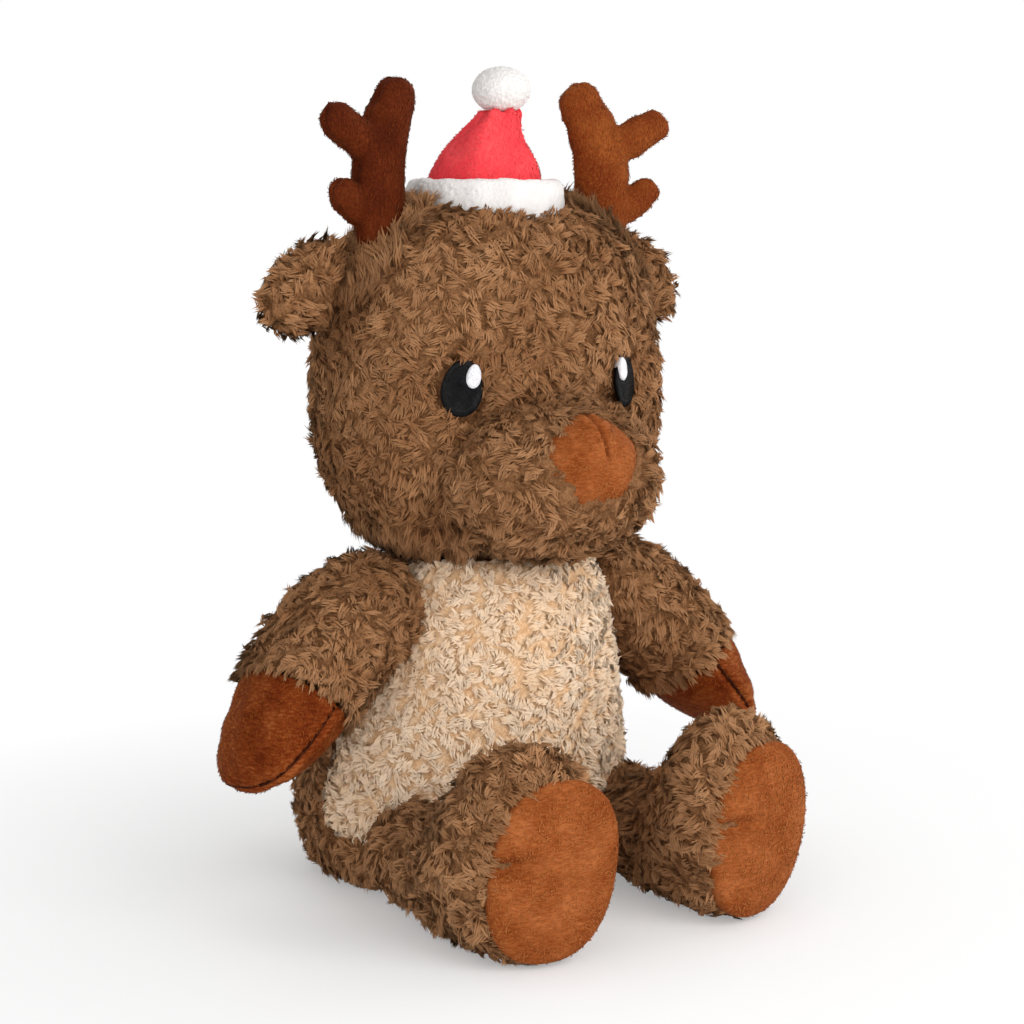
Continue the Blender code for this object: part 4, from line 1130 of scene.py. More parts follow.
    def build_eye(self, side: Side, head: Skin) -> None:
        """An oval of satin stitch with a raised stitched border, and its white glint.

        The oval is a disc grid laid on the head. Its height is a low dome plus thread ridges: slanted
        rows inside, and rows square to the edge in the border.
        """
        sign = side.value
        out = self.eye_out[0 if side is Side.RIGHT else 1]
        aim = np.array([sign * out, 0, self.eye_height]) + self.shop.shift
        near = np.hypot(head.points[:, 0] - aim[0], head.points[:, 2] - aim[2])
        near = near + (head.points[:, 1] > self.shop.shift[1])
        at = int(np.argmin(near))
        normal = head.normals[at]
        if side is Side.LEFT:
            normal = unit(normal + np.array([0.2, 0, 0]))
        middle = np.array([aim[0], head.points[at, 1], aim[2]])
        across = unit(np.cross(UP, normal))
        up = np.cross(normal, across)
        inwards = -sign * np.sign(across[0])
        tilt = self.eye_tilt * inwards
        lean_up = up * math.cos(tilt) + across * math.sin(tilt)
        lean_across = across * math.cos(tilt) - up * math.sin(tilt)
        eye = self.stitched(middle, lean_across, lean_up, normal, self.eye_half_width, self.eye_half_height,
                            1.9 * MM, -0.9 * MM)
        finishes = self.shop.finishes
        label = side.label
        self.shop.dress(eye, f"eye_stitches_{label}", "head", finishes.black, [f"eye_{label}"], None)
        place = middle + across * inwards * 4.4 * MM + up * 4.6 * MM
        glint = self.stitched(place, lean_across, lean_up, normal, 2.9 * MM, 4.7 * MM, 1.2 * MM, 0.3 * MM)
        self.shop.dress(glint, f"glint_stitches_{label}", "head", finishes.glint, [f"eye_glint_{label}"], None)

    def stitched(
        self, middle: Array, across: Array, up: Array, out: Array, half_wide: float, half_tall: float,
        border: float, lift: float,
    ) -> Skin:
        """A closed oval of stitches.

        Args:
            middle: Its centre on the cloth.
            across: Its sideways direction.
            up: Its upward direction.
            out: The way it faces.
            half_wide: Half its width.
            half_tall: Half its height.
            border: The width of the stitched border.
            lift: How far it lies above the cloth.

        Returns:
            The oval with a thickness, closed behind.
        """
        rings, steps = 44, 200
        share = np.linspace(0, 1, rings)[:, None]
        angle = full_turn(steps)[None]
        stitches = int(math.pi * (half_wide + half_tall) / (0.62 * MM))
        ragged = 1 + 0.012 * np.sign(np.sin(angle * stitches)) * smooth_step(share, 0.9, 1)
        x = share * ragged * np.cos(angle) * half_wide
        z = share * ragged * np.sin(angle) * half_tall
        inset = 1 - border / half_wide
        rim = smooth_step(share, inset - 0.05, inset + 0.02)
        x = x * (1 - 0.1 * np.sin(angle) * share)
        rows = np.abs(np.sin(math.pi * (x * 0.35 + z) / (0.85 * MM)))
        satin = np.abs(np.sin(angle * stitches / 2))
        dome = 1.1 * MM * (1 - share**2)
        height = dome + (1 - rim) * rows * 0.28 * MM + rim * (0.35 * MM + satin * 0.2 * MM) * np.sqrt(
            np.clip(1 - ((share - (1 + inset) / 2) / (0.56 * (1 - inset))) ** 2, 0, 1))
        front = (middle + across * x[..., None] + up * z[..., None]
                 + out * (height + lift + 0.6 * MM)[..., None])
        back = (middle + across * x[-1][:, None] * 0.98 + up * z[-1][:, None] * 0.98 - out * 1.5 * MM)
        behind = np.broadcast_to(middle - out * 1.5 * MM, back.shape)
        grid = np.concatenate([front, back[None], behind[None]])
        return closed_skin(grid, np.arange(rings + 2.0), angle[0])

    def build_ear(self, side: Side) -> None:
        """A half disc of pile cloth on a straight seam up the side of the head."""
        sign = side.value
        lean = self.ear_lean
        out = np.array([sign * math.cos(lean), 0, math.sin(lean)])
        up = np.array([-sign * math.sin(lean), 0, math.cos(lean)])
        root = np.array([sign * self.ear_out, self.ear_back, self.ear_height]) + self.shop.shift
        table = np.array(self.ear_shares)
        centres = root + table[:, :1] * (out * self.ear_length - up * self.ear_droop)
        halves = table[:, 1:] * (self.ear_half_height, self.ear_half_depth)
        ear = square_rings(centres, out, up, halves).skin(per_ring=8, steps=72).crimped(0.6 * MM)
        finishes = self.shop.finishes
        body = f"ear_{side.label}"
        self.shop.dress(ear, f"ear_cloth_{side.label}", body, finishes.brown, [body])

        def keep_ear(places: Array, normals: Array) -> Array:
            """What stands out of the head."""
            return ((places - root) @ out > 0).astype(float)

        self.shop.plant(TEDDY, body, f"ear_pile_{side.label}", ear, keep_ear, 40 + sign, finishes.brown)


@dataclass
class Antlers:
    """Two stuffed antlers of rust velour, each a front and a back panel sewn round the edge."""

    shop: Workshop
    base_out: float = 53 * MM
    base_height: float = 257 * MM
    tall: float = 71 * MM
    spread: float = 31 * MM
    forward: float = 4 * MM
    turn: float = math.radians(15)
    thin_share: float = 0.78
    voxel: float = 0.9 * MM
    tubes: tuple[tuple[float, tuple[tuple[float, float, float], ...]], ...] = (
        (11.8 * MM, ((-0.02, 0.00, 0.84), (0.07, 0.32, 1.00), (0.07, 0.64, 1.00), (-0.22, 0.90, 0.80),
                     (-0.38, 1.02, 0.67))),
        (7.8 * MM, ((0.05, 0.62, 1.00), (0.60, 0.75, 1.00), (0.97, 0.84, 0.84))),
        (7.2 * MM, ((0.02, 0.28, 1.00), (0.52, 0.33, 1.00), (0.82, 0.46, 0.84))),
    )

    def merged(self, skins: Sequence[Skin]) -> Skin:
        """Joins closed skins into one by a voxel remesh and smooths the joins."""
        start = 0
        points, triangles = [], []
        for skin in skins:
            points.append(skin.points)
            triangles.append(skin.triangles + start)
            start += len(skin.points)
        lump = make_mesh("antler_lump", np.vstack(points), np.concatenate(triangles))
        remesh = lump.modifiers.new("Join", "REMESH")
        remesh.mode = "VOXEL"
        remesh.voxel_size = self.voxel
        even = lump.modifiers.new("Even", "SMOOTH")
        even.iterations = 8
        even.factor = 0.6
        graph = bpy.context.evaluated_depsgraph_get()
        mesh = bpy.data.meshes.new_from_object(lump.evaluated_get(graph))
        mesh.calc_loop_triangles()
        places = np.empty(len(mesh.vertices) * 3, np.float32)
        mesh.vertices.foreach_get("co", places)
        faces = np.empty(len(mesh.loop_triangles) * 3, np.int32)
        mesh.loop_triangles.foreach_get("vertices", faces)
        bpy.data.objects.remove(lump, do_unlink=True)
        places = places.reshape(-1, 3).astype(float)
        faces = faces.reshape(-1, 3).astype(np.int64)
        return Skin(places, faces, point_normals(places, faces))

    def build(self) -> None:
        """Both antlers with their edge seam and their nap."""
        finishes = self.shop.finishes
        for side in Side:
            sign = side.value
            base = np.array([sign * self.base_out, -self.forward, self.base_height]) + self.shop.shift
            out = np.array([sign * math.cos(self.turn), -math.sin(self.turn), 0])
            face = np.array([sign * math.sin(self.turn), math.cos(self.turn), 0])
            skins = []
            for radius, shares in self.tubes:
                table = np.array(shares)
                centres = (base + table[:, :1] * self.spread * out
                           + table[:, 1:2] * self.tall * UP)
                halves = table[:, 2:] * radius * np.array([[1, self.thin_share]])
                skins.append(rings_along(centres, out, halves).skin(per_ring=6, steps=40))
            antler = self.merged(skins)
            off_plane = (antler.points - base) @ face
            edge = 1 - np.abs(antler.normals @ face)
            seam = np.exp(-((off_plane / (0.9 * MM)) ** 2)) * smooth_step(edge, 0.4, 0.8)
            pucker = 0.35 * MM * waves(antler.points, 7 * MM, 61) * np.exp(-((off_plane / (4 * MM)) ** 2))
            antler = antler.raised(-1.0 * MM * seam + pucker + 0.25 * MM)
            label = side.label
            # Each antler's velour is its side's copy: painted shade on the right, painted light on the left.
            self.shop.dress(antler, f"antler_velour_{label}", "head", finishes.antler[side],
                            [f"antler_{label}", f"antler_filling_{label}"], 0.8)
            # Each antler's nap is its side's copy: painted shade on the right, painted light on the left.
            self.shop.plant(
                SHORT_NAP, "head", f"antler_nap_{label}", antler, everywhere, 50 + sign, finishes.antler[side])


@dataclass
class Hat:
    """The red cone with its white rolled cuff and pompom."""

    shop: Workshop
    back: float = 2 * MM
    lean: float = 12 * MM
    cuff_bottom: float = 273 * MM
    cuff_top: float = 291 * MM
    cuff_radius: float = 32 * MM
    cuff_thick: float = 7 * MM
    cone_height: float = 46 * MM
    pompom_half_width: float = 12 * MM
    pompom_half_height: float = 8.5 * MM
    sink: float = 1.0 * MM
    ring_shares: tuple[tuple[float, float, float], ...] = (
        (0.00, 1.00, 0.00),
        (0.28, 0.98, 0.02),
        (0.42, 0.93, 0.04),
        (0.66, 0.76, 0.16),
        (0.84, 0.49, 0.68),
        (0.93, 0.36, 0.94),
        (1.00, 0.38, 1.00),
    )

    def build(self) -> None:
        """Cone, cuff and pompom."""
        self.build_cone()
        self.build_cuff()
        self.build_pompom()

    def build_cone(self) -> None:
        """Round rings that lean forward, gathered into folds under the pompom."""
        finishes = self.shop.finishes
        table = np.array(self.ring_shares)
        base = self.cuff_radius - self.cuff_thick - 0.3 * MM
        centres = np.zeros((len(table), 3))
        centres[:, 1] = self.back - table[:, 2] * self.lean
        centres[:, 2] = self.cuff_bottom + table[:, 0] * self.cone_height
        halves = np.repeat(table[:, 1:2] * base, 2, axis=1)
        form = square_rings(centres + self.shop.shift, UP, ACROSS, halves)
        cone = form.skin(per_ring=10, steps=120)
        height = (cone.points[:, 2] - self.cuff_bottom) / self.cone_height
        gathered = smooth_step(height, 0.55, 0.95)
        folds = np.cos(7 * cone.around + 1.5 * np.sin(cone.around)) * 0.9 * MM * gathered
        pinch = -3.6 * MM * np.exp(-(((cone.around - 5.75) / 0.6) ** 2)) * smooth_step(height, 0.45, 0.82)
        soft = 0.5 * MM * waves(cone.points, 22 * MM, 71)
        cone = cone.raised(folds + pinch + soft)
        self.shop.dress(cone, "hat_velour", "head", finishes.red, ["hat_cone", "hat_filling"], 0.6)

        def above_cuff(places: Array, normals: Array) -> Array:
            """What shows over the cuff."""
            return (places[:, 2] > self.cuff_top - 3 * MM).astype(float)

        self.shop.plant(SHORT_NAP, "head", "hat_nap", cone, above_cuff, 72, finishes.red)

    def build_cuff(self) -> None:
        """A rolled band: a soft rounded profile carried round the cone, a little uneven."""
        finishes = self.shop.finishes
        rows, columns = 420, 110
        steps = full_turn(rows)
        profile = full_turn(columns)
        tall = (self.cuff_top - self.cuff_bottom) / 2
        wide = self.cuff_thick / 2
        x = np.sign(np.cos(profile)) * np.abs(np.cos(profile)) ** 0.7 * wide
        z = np.sign(np.sin(profile)) * np.abs(np.sin(profile)) ** 0.7 * tall
        radius = self.cuff_radius - wide + x
        centre = np.array([0, self.back, (self.cuff_top + self.cuff_bottom) / 2]) + self.shop.shift
        grid = np.stack([
            centre[0] + np.cos(steps)[:, None] * radius[None],
            centre[1] + np.sin(steps)[:, None] * radius[None],
            np.broadcast_to(centre[2] + z[None], (rows, columns)),
        ], axis=-1)
        index = np.arange(rows * columns).reshape(rows, columns)
        a, b = index, np.roll(index, -1, axis=0)
        c, d = np.roll(b, -1, axis=1), np.roll(index, -1, axis=1)
        triangles = quads(a, b, c, d)
        points = grid.reshape(-1, 3)
        cuff = Skin(points, triangles, point_normals(points, triangles))
        cuff = cuff.raised(0.3 * MM * waves(points, 14 * MM, 73)).crimped(0.35 * MM, 0.14 * MM, 2.8 * MM)
        self.shop.dress(cuff, "cuff_cloth", "head", finishes.white, ["hat_cuff"], 0.6)

    def build_pompom(self) -> None:
        """A flattened ball of white plush on the tip."""
        finishes = self.shop.finishes
        rows = np.linspace(0, math.pi, 130)
        steps = full_turn(240)
        tip = self.cuff_bottom + self.cone_height + 0.3 * MM + self.pompom_half_height
        centre = np.array([0, self.back - self.lean, tip]) + self.shop.shift
        size = np.sin(rows)[:, None]
        half_width, half_height = self.pompom_half_width - 0.9 * MM, self.pompom_half_height - 0.9 * MM
        level = centre[2] - self.sink - np.cos(rows) * (half_height + self.sink)
        grid = np.stack([
            centre[0] + size * np.cos(steps)[None] * half_width,
            centre[1] + size * np.sin(steps)[None] * half_width,
            np.repeat(level[:, None], len(steps), axis=1),
        ], axis=-1)
        ball = closed_skin(grid, rows, steps).crimped(0.7 * MM, 0.2 * MM, 3.4 * MM)
        self.shop.dress(ball, "pompom_core", "head", finishes.white, ["pompom"], 0.8)


@dataclass
class Arms:
    """Flat mitten arms: a sleeve of pile cloth and a paw of velour."""

    shop: Workshop
    shoulder_out: float = 44 * MM
    shoulder_height: float = 120 * MM
    shoulder_forward: float = 1 * MM
    out: float = 82 * MM
    forward: float = 18 * MM
    down: float = 60 * MM
    half_width: float = 26.5 * MM
    half_thick: float = 20.5 * MM
    left_drop: float = math.radians(5)
    seam_turn: float = 0.06
    thread_sink: float = 0.5 * MM
    thread_radius: float = 0.55 * MM
    sleeve_shares: tuple[tuple[float, float, float, float, float], ...] = (
        (0.00, 0.00, -0.06, 0.78, 0.86),
        (0.16, 0.04, -0.03, 0.94, 1.04),
        (0.36, 0.18, 0.12, 1.00, 1.12),
        (0.54, 0.36, 0.33, 1.04, 1.12),
        (0.67, 0.52, 0.52, 1.02, 1.00),
    )
    paw_shares: tuple[tuple[float, float, float, float, float], ...] = (
        (0.80, 0.70, 0.71, 1.00, 0.84),
        (0.93, 0.88, 0.89, 0.86, 0.56),
        (1.01, 1.00, 1.00, 0.48, 0.22),
    )

    def form(self, side: Side) -> Form:
        """The whole arm as rings square to its path."""
        sign = side.value
        table = np.array(self.sleeve_shares + self.paw_shares)
        run = np.stack([sign * table[:, 0] * self.out, -table[:, 1] * self.forward, -table[:, 2] * self.down],
                       axis=1)
        drop = self.left_drop if side is Side.LEFT else 0.0
        turned = run.copy()
        turned[:, 0] = run[:, 0] * math.cos(drop) + sign * run[:, 2] * math.sin(drop)
        turned[:, 2] = -sign * run[:, 0] * math.sin(drop) + run[:, 2] * math.cos(drop)
        shoulder = np.array([sign * self.shoulder_out, -self.shoulder_forward, self.shoulder_height])
        halves = table[:, 3:] * (self.half_width, self.half_thick)
        return rings_along(shoulder + self.shop.shift + turned, np.array([0, -1.0, 0]), halves)

    def build(self) -> None:
        """Both arms."""
        for side in Side:
            self.build_arm(side)

    def build_arm(self, side: Side) -> None:
        """The sleeve with its pile and wrist fringe, and the paw."""
        finishes = self.shop.finishes
        sign, label = side.value, side.label
        form = self.form(side)
        wrist = len(self.sleeve_shares) - 1
        body = f"arm_{label}"
        steps = full_turn(120)
        along = np.linspace(0, wrist + 2, (wrist + 2) * 12 + 1)
        grid = form.grid(along, steps)
        middle = form.rows(along[-1:])[0]
        grid = np.concatenate([grid, np.broadcast_to(middle[:, None], (1, 120, 3))])
        arm = closed_skin(grid, np.append(along, along[-1]), steps)
        ring_gap = np.linalg.norm(arm.points - middle, axis=1) / np.linalg.norm(form.rows(along[-1:])[1])
        arm = arm.crimped(0.8 * MM).raised(-1.2 * MM * (arm.along > wrist + 1.93) * (ring_gap > 0.3))
        self.shop.dress(arm, f"sleeve_cloth_{label}", body, finishes.brown,
                        [f"arm_sleeve_{label}", f"arm_filling_{label}"])
        cuff_place, way = middle[0], unit(form.centres[wrist + 1] - form.centres[wrist])
        inner = self.shop.shift[0] + sign * 50 * MM

        def keep_sleeve(places: Array, normals: Array) -> Array:
            """Between the shoulder and the wrist."""
            short = (places - cuff_place) @ way < -3.0 * MM
            return short * ((places[:, 0] - inner) * sign > 0)

        self.shop.plant(TEDDY, body, f"sleeve_pile_{label}", arm, keep_sleeve, 80 + sign, finishes.brown)

        def at_wrist(places: Array, normals: Array) -> Array:
            """A band behind the wrist seam."""
            short = (places - cuff_place) @ way
            return (short < -1.2 * MM) * (short > -7 * MM) * (np.abs(normals @ way) < 0.8)

        self.shop.plant(
            FRINGE, body, f"wrist_fringe_{label}", arm, at_wrist, 86 + sign, finishes.brown,
            toward=form.centres[-1])
        self.build_paw(side, form, wrist)

    def build_paw(self, side: Side, form: Form, wrist: int) -> None:
        """The velour mitten, with its seam along the front and back edges."""
        finishes = self.shop.finishes
        label = side.label
        steps = full_turn(150)
        along = np.linspace(wrist + 1.97, form.length, 84)
        grid = form.grid(along, steps)
        start = form.rows(along[:1])[0]
        grid = np.concatenate([np.broadcast_to(start[:, None], (1, 150, 3)), grid])
        paw = closed_skin(grid, np.append(along[:1], along), steps)
        start_centre, across, tall = form.rows(along[:1])
        way = unit(form.centres[-1] - form.centres[wrist])

        def from_seam(places: Array) -> Array:
            """How far each place is from the seam: its angle from the seam's two lines, times the half size."""
            off = places - start_centre - ((places - start_centre) @ way)[:, None] * way
            turned = np.arctan2(off @ unit(tall)[0], off @ unit(across)[0])
            lines = (side.value * self.seam_turn, math.pi - side.value * self.seam_turn)
            apart = np.minimum(*(np.abs(np.angle(np.exp(1j * (turned - line)))) for line in lines))
            return apart * np.linalg.norm(off, axis=1)

        seam_gap = from_seam(paw.points)
        stitch = 0.6 + 0.4 * np.cos(math.tau * (paw.points @ way) / (4 * MM))
        seam = -2.0 * MM * np.exp(-((seam_gap / (1.1 * MM)) ** 2)) * stitch
        seam += 0.7 * MM * np.exp(-(((seam_gap - 3 * MM) / (1.6 * MM)) ** 2))
        near_wrist = (paw.along < wrist + 2.02) * -1.2 * MM
        soft = 0.35 * MM * waves(paw.points, 18 * MM, 81)
        paw = paw.raised(seam + near_wrist + soft)
        # The paw's velour and nap are the rust velour painted darker, as painted shade.
        self.shop.dress(paw, f"paw_velour_{label}", f"arm_{label}", finishes.paw, [f"paw_{label}"], 0.5)
        self.shop.plant(
            SHORT_NAP, f"arm_{label}", f"paw_nap_{label}", paw, lambda p, n: from_seam(p) > 1.4 * MM,
            84 + side.value, finishes.paw)
        self.build_paw_seam(side, form, wrist)

    def build_paw_seam(self, side: Side, form: Form, wrist: int) -> None:
        """The closing thread: a thin tube along the front edge, round the tip and back along the rear edge."""
        there = np.linspace(wrist + 2.1, form.length - 0.35, 34)
        turn = side.value * self.seam_turn
        front = form.grid(there, np.array([turn]))[:, 0]
        rear = form.grid(there[::-1], np.array([math.pi - turn]))[:, 0]
        middle = np.concatenate([form.rows(there)[0], form.rows(there[::-1])[0]])
        path = np.concatenate([front, rear])
        path = path - unit(path - middle) * self.thread_sink
        halves = np.full((len(path), 2), self.thread_radius)
        thread = rings_along(path, np.array([0.3, -0.9, 0.3]), halves).skin(per_ring=2, steps=8)
        self.shop.dress(thread, f"paw_seam_{side.label}", f"arm_{side.label}", self.shop.finishes.seam,
                        fill=None)


@dataclass
class Legs:
    """Short thick legs with upturned feet and oval velour soles."""

    shop: Workshop
    hip_out: float = 49.5 * MM
    hip_forward: float = 25.5 * MM
    hip_height: float = 23 * MM
    out: float = 1 * MM
    forward: float = 88.5 * MM
    radius: float = 23 * MM
    foot_half_width: float = 31 * MM
    foot_half_height: float = 41.5 * MM
    turn: float = math.radians(9)
    sole_dome: float = 6.5 * MM
    sole_aside: float = 3.0 * MM
    leg_shares: tuple[tuple[float, float, float], ...] = (
        (-0.22, 0.64, 0.64),
        (-0.04, 0.96, 0.955),
        (0.14, 0.75, 0.74),
        (0.30, 1.03, 0.97),
        (0.48, 1.10, 1.02),
    )
    foot_shares: tuple[tuple[float, float, float], ...] = (
        (0.61, 0.90, 0.84),
        (0.78, 1.01, 1.01),
        (0.99, 0.91, 0.92),
    )

    def axes(self, side: Side) -> tuple[Array, Array, Array, Array]:
        """The hip, the leg's run, the way the foot points and its sideways direction."""
        sign = side.value
        hip = np.array([sign * self.hip_out, -self.hip_forward, self.hip_height]) + self.shop.shift
        run = np.array([sign * self.out, -self.forward, 0])
        way = unit(run)
        angle = sign * self.turn
        toes = np.array([
            way[0] * math.cos(angle) - way[1] * math.sin(angle),
            way[0] * math.sin(angle) + way[1] * math.cos(angle),
            0,
        ])
        return hip, run, toes, np.cross(UP, toes)

    def form(self, side: Side) -> Form:
        """The leg's rings and then the foot's, all standing on the floor."""
        hip, run, toes, across = self.axes(side)
        leg, foot = np.array(self.leg_shares), np.array(self.foot_shares)
        first = hip + leg[:, :1] * run
        second = hip + foot[:, :1] * run
        second[:, 2] = foot[:, 2] * self.foot_half_height - 0.5 * MM
        foot_size = (self.foot_half_width, self.foot_half_height)
        halves = np.vstack([leg[:, 1:] * self.radius, foot[:, 1:] * foot_size])
        way = np.vstack([np.tile(unit(run), (len(leg), 1)), np.tile(toes, (len(foot), 1))])
        return square_rings(np.vstack([first, second]), way, across, halves)

    def build(self) -> None:
        """Both legs with their soles."""
        for side in Side:
            self.build_leg(side)

    def build_leg(self, side: Side) -> None:
        """The leg with its pile and the fringe round the sole, and the sole."""
        finishes = self.shop.finishes
        sign, label = side.value, side.label
        hip, _, toes, across = self.axes(side)
        form = self.form(side)
        leg = form.skin(per_ring=11, steps=130).crimped(0.8 * MM).on_floor()
        body = f"leg_{label}"
        self.shop.dress(leg, f"leg_cloth_{label}", body, finishes.brown,
                        [f"leg_skin_{label}", f"leg_filling_{label}"])
        sole_centre, half_wide, half_tall = self.sole_place(side)

        def keep_leg(places: Array, normals: Array) -> Array:
            """From where it leaves the belly to the rim of the sole."""
            off = places - sole_centre
            size = np.hypot((off @ across) / (half_wide - 0.5 * MM), off[:, 2] / (half_tall - 0.5 * MM))
            before_rim = ~((off @ toes > -12 * MM) & (size < 1))
            out_of_body = (places - hip) @ toes > -4 * MM
            under = np.where((places[:, 2] < 2 * MM) & (normals[:, 2] < -0.6), 0.4, 1.0)
            return before_rim * out_of_body * under

        # The legs' pile is tinted lighter as painted light.
        self.shop.plant(LEG_TEDDY_PAINTED_LIGHT, body, f"leg_pile_{label}", leg, keep_leg, 90 + sign, finishes.brown)

        def round_sole(places: Array, normals: Array) -> Array:
            """A ring round the sole, but for the side where the sole bulges past the foot."""
            off = places - sole_centre
            size = np.hypot((off @ across) / half_wide, off[:, 2] / half_tall)
            return (off @ toes > -9 * MM) * (size > 1.0) * (size < 1.16) * (off @ across < 12 * MM)

        self.shop.plant(
            FRINGE, body, f"sole_fringe_{label}", leg, round_sole, 98 + sign, finishes.brown,
            toward=sole_centre + toes * 14 * MM)
        self.build_sole(side)

    def sole_place(self, side: Side) -> tuple[Array, float, float]:
        """The sole's centre and its half width and half height."""
        hip, run, _, across = self.axes(side)
        share = np.array(self.foot_shares)[-1]
        centre = hip + run * share[0] + across * self.sole_aside
        centre[2] = share[2] * self.foot_half_height - 2.0 * MM
        return centre, self.foot_half_width * 0.86, self.foot_half_height * 0.83

    def build_sole(self, side: Side) -> None:
        """A low oval dome of velour in the end of the foot."""
        _, _, toes, across = self.axes(side)
        finishes = self.shop.finishes
        label = side.label
        centre, half_wide, half_tall = self.sole_place(side)
        rings, steps = 48, 140
        size = np.linspace(0, 1, rings)[:, None]
        angle = full_turn(steps)[None]
        blunt = 1 / (np.abs(np.cos(angle)) ** 2.3 + np.abs(np.sin(angle)) ** 2.3) ** (1 / 2.3)
        x = size * np.cos(angle) * blunt * half_wide
        z = size * np.sin(angle) * blunt * half_tall
        x = x + 0.10 * z
        dome = self.sole_dome * np.sqrt(np.clip(1 - 0.985 * size**2.8, 0, 1))
        dimple = 5.5 * MM * np.exp(-((x + 19 * MM) ** 2 / (9 * MM) ** 2 + (z - 5 * MM) ** 2 / (3.2 * MM) ** 2))
        wave = 0.45 * MM * np.sin(3 * angle + side.value) * size
        front = centre + across * x[..., None] + UP * z[..., None] + toes * (dome - dimple + wave)[..., None]
        back = centre + across * x[-1][:, None] + UP * z[-1][:, None] - toes * 4 * MM
        behind = np.broadcast_to(centre - toes * 4 * MM, back.shape)
        sole = closed_skin(np.concatenate([front, back[None], behind[None]]), np.arange(rings + 2.0), angle[0])
        sole = sole.on_floor(1 * MM)
        self.shop.dress(sole, f"sole_velour_{label}", f"leg_{label}", finishes.rust, [f"sole_{label}"], 0.6)
        self.shop.plant(
            SHORT_NAP, f"leg_{label}", f"sole_nap_{label}", sole, lambda p, n: (n @ toes > 0.2).astype(float),
            94 + side.value, finishes.rust)


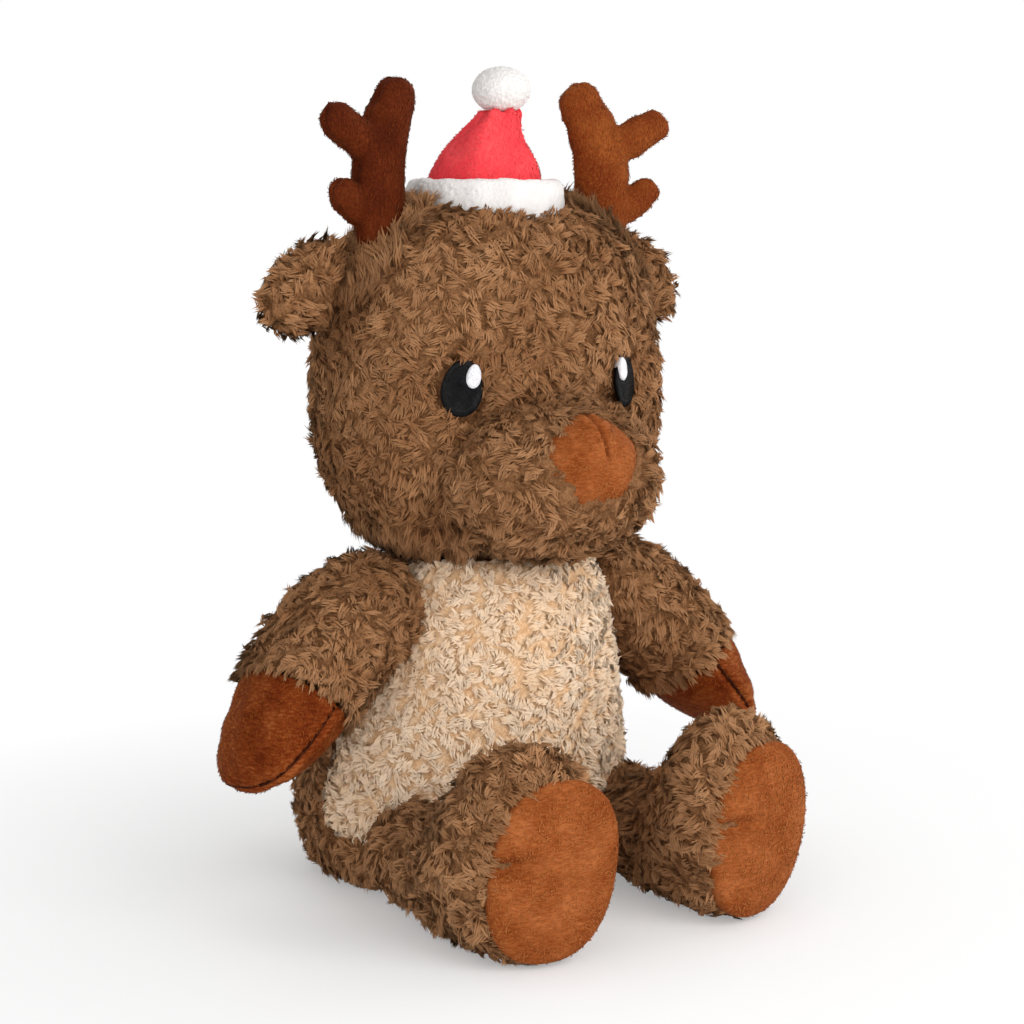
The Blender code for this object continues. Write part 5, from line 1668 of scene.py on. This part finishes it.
@dataclass
class Stage:
    """Camera, lamps and a plain pale floor."""

    shift: Array
    pull_back: float = 0.940
    turn: float = math.radians(34.5)
    pitch: float = math.radians(8.04)
    eye_level: float = 0.287
    aside: float = 0.010
    lens_pixels: float = 2280.0
    frame_pixels: float = 1024.0
    sensor: float = 36.0

    def build(self) -> None:
        """Everything that isn't the deer."""
        self.build_camera()
        self.build_floor()
        self.build_world()
        self.build_lamp("key", (0.25, -1.15, 0.72), 1.0, 10.2)
        self.build_lamp("fill", (-0.85, -0.85, 0.3), 1.1, 5.8)
        self.build_lamp("side", (1.05, 0.1, 0.7), 1.0, 3.8)
        self.build_lamp("top", (-0.1, 0.35, 1.2), 0.9, 1.4)
        bpy.context.scene.view_settings.view_transform = "Standard"

    def build_camera(self) -> None:
        """The photograph's viewpoint: turned to the deer's right and looking a little down."""
        data = bpy.data.cameras.new("camera")
        data.sensor_width = self.sensor
        data.lens = self.lens_pixels * self.sensor / self.frame_pixels
        camera = bpy.data.objects.new("camera", data)
        bpy.context.scene.collection.objects.link(camera)
        sin, cos = math.sin(self.turn), math.cos(self.turn)
        camera.location = (
            self.aside * cos - self.pull_back * sin + self.shift[0],
            -(self.aside * sin + self.pull_back * cos) + self.shift[1],
            self.eye_level,
        )
        camera.rotation_euler = (math.radians(90) - self.pitch, 0, -self.turn)
        bpy.context.scene.camera = camera

    def build_floor(self) -> None:
        """A wide white sheet, which a camera ray sees as white away from the deer's shadow."""
        bpy.ops.mesh.primitive_plane_add(size=6.0, location=(0, 0, -0.0004))
        floor = bpy.context.object
        floor.name = "floor"
        made, tree, shader = new_material("floor_paper")
        shader.inputs["Base Color"].default_value = linear("FCFCFC")
        shader.inputs["Roughness"].default_value = 0.95
        place = add_node(tree, "ShaderNodeTexCoord")
        grain = add_node(tree, "ShaderNodeTexNoise", {"Scale": 900.0}, {"Vector": place.outputs["Object"]})
        bump = add_node(tree, "ShaderNodeBump", {"Strength": 0.02}, {"Height": grain.outputs["Fac"]})
        tree.links.new(bump.outputs["Normal"], shader.inputs["Normal"])
        far = add_node(tree, "ShaderNodeVectorMath", {"operation": "LENGTH"},
                       {"Vector": place.outputs["Object"]})
        fade = add_node(tree, "ShaderNodeMapRange", {"From Min": 0.12, "From Max": 0.36, "To Min": 0.3}, {
            "Value": far.outputs["Value"]})
        path = add_node(tree, "ShaderNodeLightPath")
        seen = add_node(tree, "ShaderNodeMath", {"operation": "MULTIPLY"}, {
            0: fade.outputs["Result"], 1: path.outputs["Is Camera Ray"]})
        white = add_node(tree, "ShaderNodeEmission", {"Color": (1.0, 1.0, 1.0, 1.0), "Strength": 1.0})
        mixed = add_node(tree, "ShaderNodeMixShader", links={
            0: seen.outputs[0], 1: shader.outputs[0], 2: white.outputs[0]})
        tree.links.new(mixed.outputs[0], tree.nodes["Material Output"].inputs["Surface"])
        floor.data.materials.append(made)

    def build_world(self) -> None:
        """A soft pale room, white to the camera and in reflections."""
        world = bpy.data.worlds.new("room")
        world.use_nodes = True
        tree = world.node_tree
        tree.nodes.clear()
        path = add_node(tree, "ShaderNodeLightPath")
        seen = add_node(tree, "ShaderNodeMath", {"operation": "MAXIMUM"},
                        {0: path.outputs["Is Camera Ray"], 1: path.outputs["Is Glossy Ray"]})
        clear = add_node(tree, "ShaderNodeMath", {"operation": "MAXIMUM"},
                         {0: seen.outputs[0], 1: path.outputs["Is Transmission Ray"]})
        soft = add_node(tree, "ShaderNodeBackground", {"Color": (1.0, 1.0, 1.0, 1.0), "Strength": 0.49})
        white = add_node(tree, "ShaderNodeBackground", {"Color": (1.0, 1.0, 1.0, 1.0), "Strength": 1.0})
        mixed = add_node(tree, "ShaderNodeMixShader", links={
            0: clear.outputs[0], 1: soft.outputs[0], 2: white.outputs[0]})
        add_node(tree, "ShaderNodeOutputWorld", links={"Surface": mixed.outputs[0]})
        bpy.context.scene.world = world

    def build_lamp(self, name: str, place: tuple[float, float, float], size: float, watts: float) -> None:
        """A square soft lamp that looks at the middle of the deer."""
        data = bpy.data.lights.new(name, "AREA")
        data.shape = "SQUARE"
        data.size = size
        data.energy = watts
        lamp = bpy.data.objects.new(name, data)
        bpy.context.scene.collection.objects.link(lamp)
        lamp.location = place
        aim = Vector((float(self.shift[0]), 0.0, 0.16)) - Vector(place)
        lamp.rotation_euler = aim.to_track_quat("-Z", "Y").to_euler()


def main() -> None:
    """Builds the deer on the frame, piece by piece."""
    logging.basicConfig(level=logging.INFO, format="%(message)s")
    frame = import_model()
    neck = next(joint for joint in frame["joints"] if joint["name"] == "head_turn")["pos_m"]
    shift = np.array([neck[0], neck[1], 0.0])
    finishes = Finishes()
    shop = Workshop(finishes, shift)
    Torso(shop).build()
    Head(shop).build()
    Antlers(shop).build()
    Hat(shop).build()
    Arms(shop).build()
    Legs(shop).build()
    Stage(shift).build()


if __name__ == "__main__":
    main()
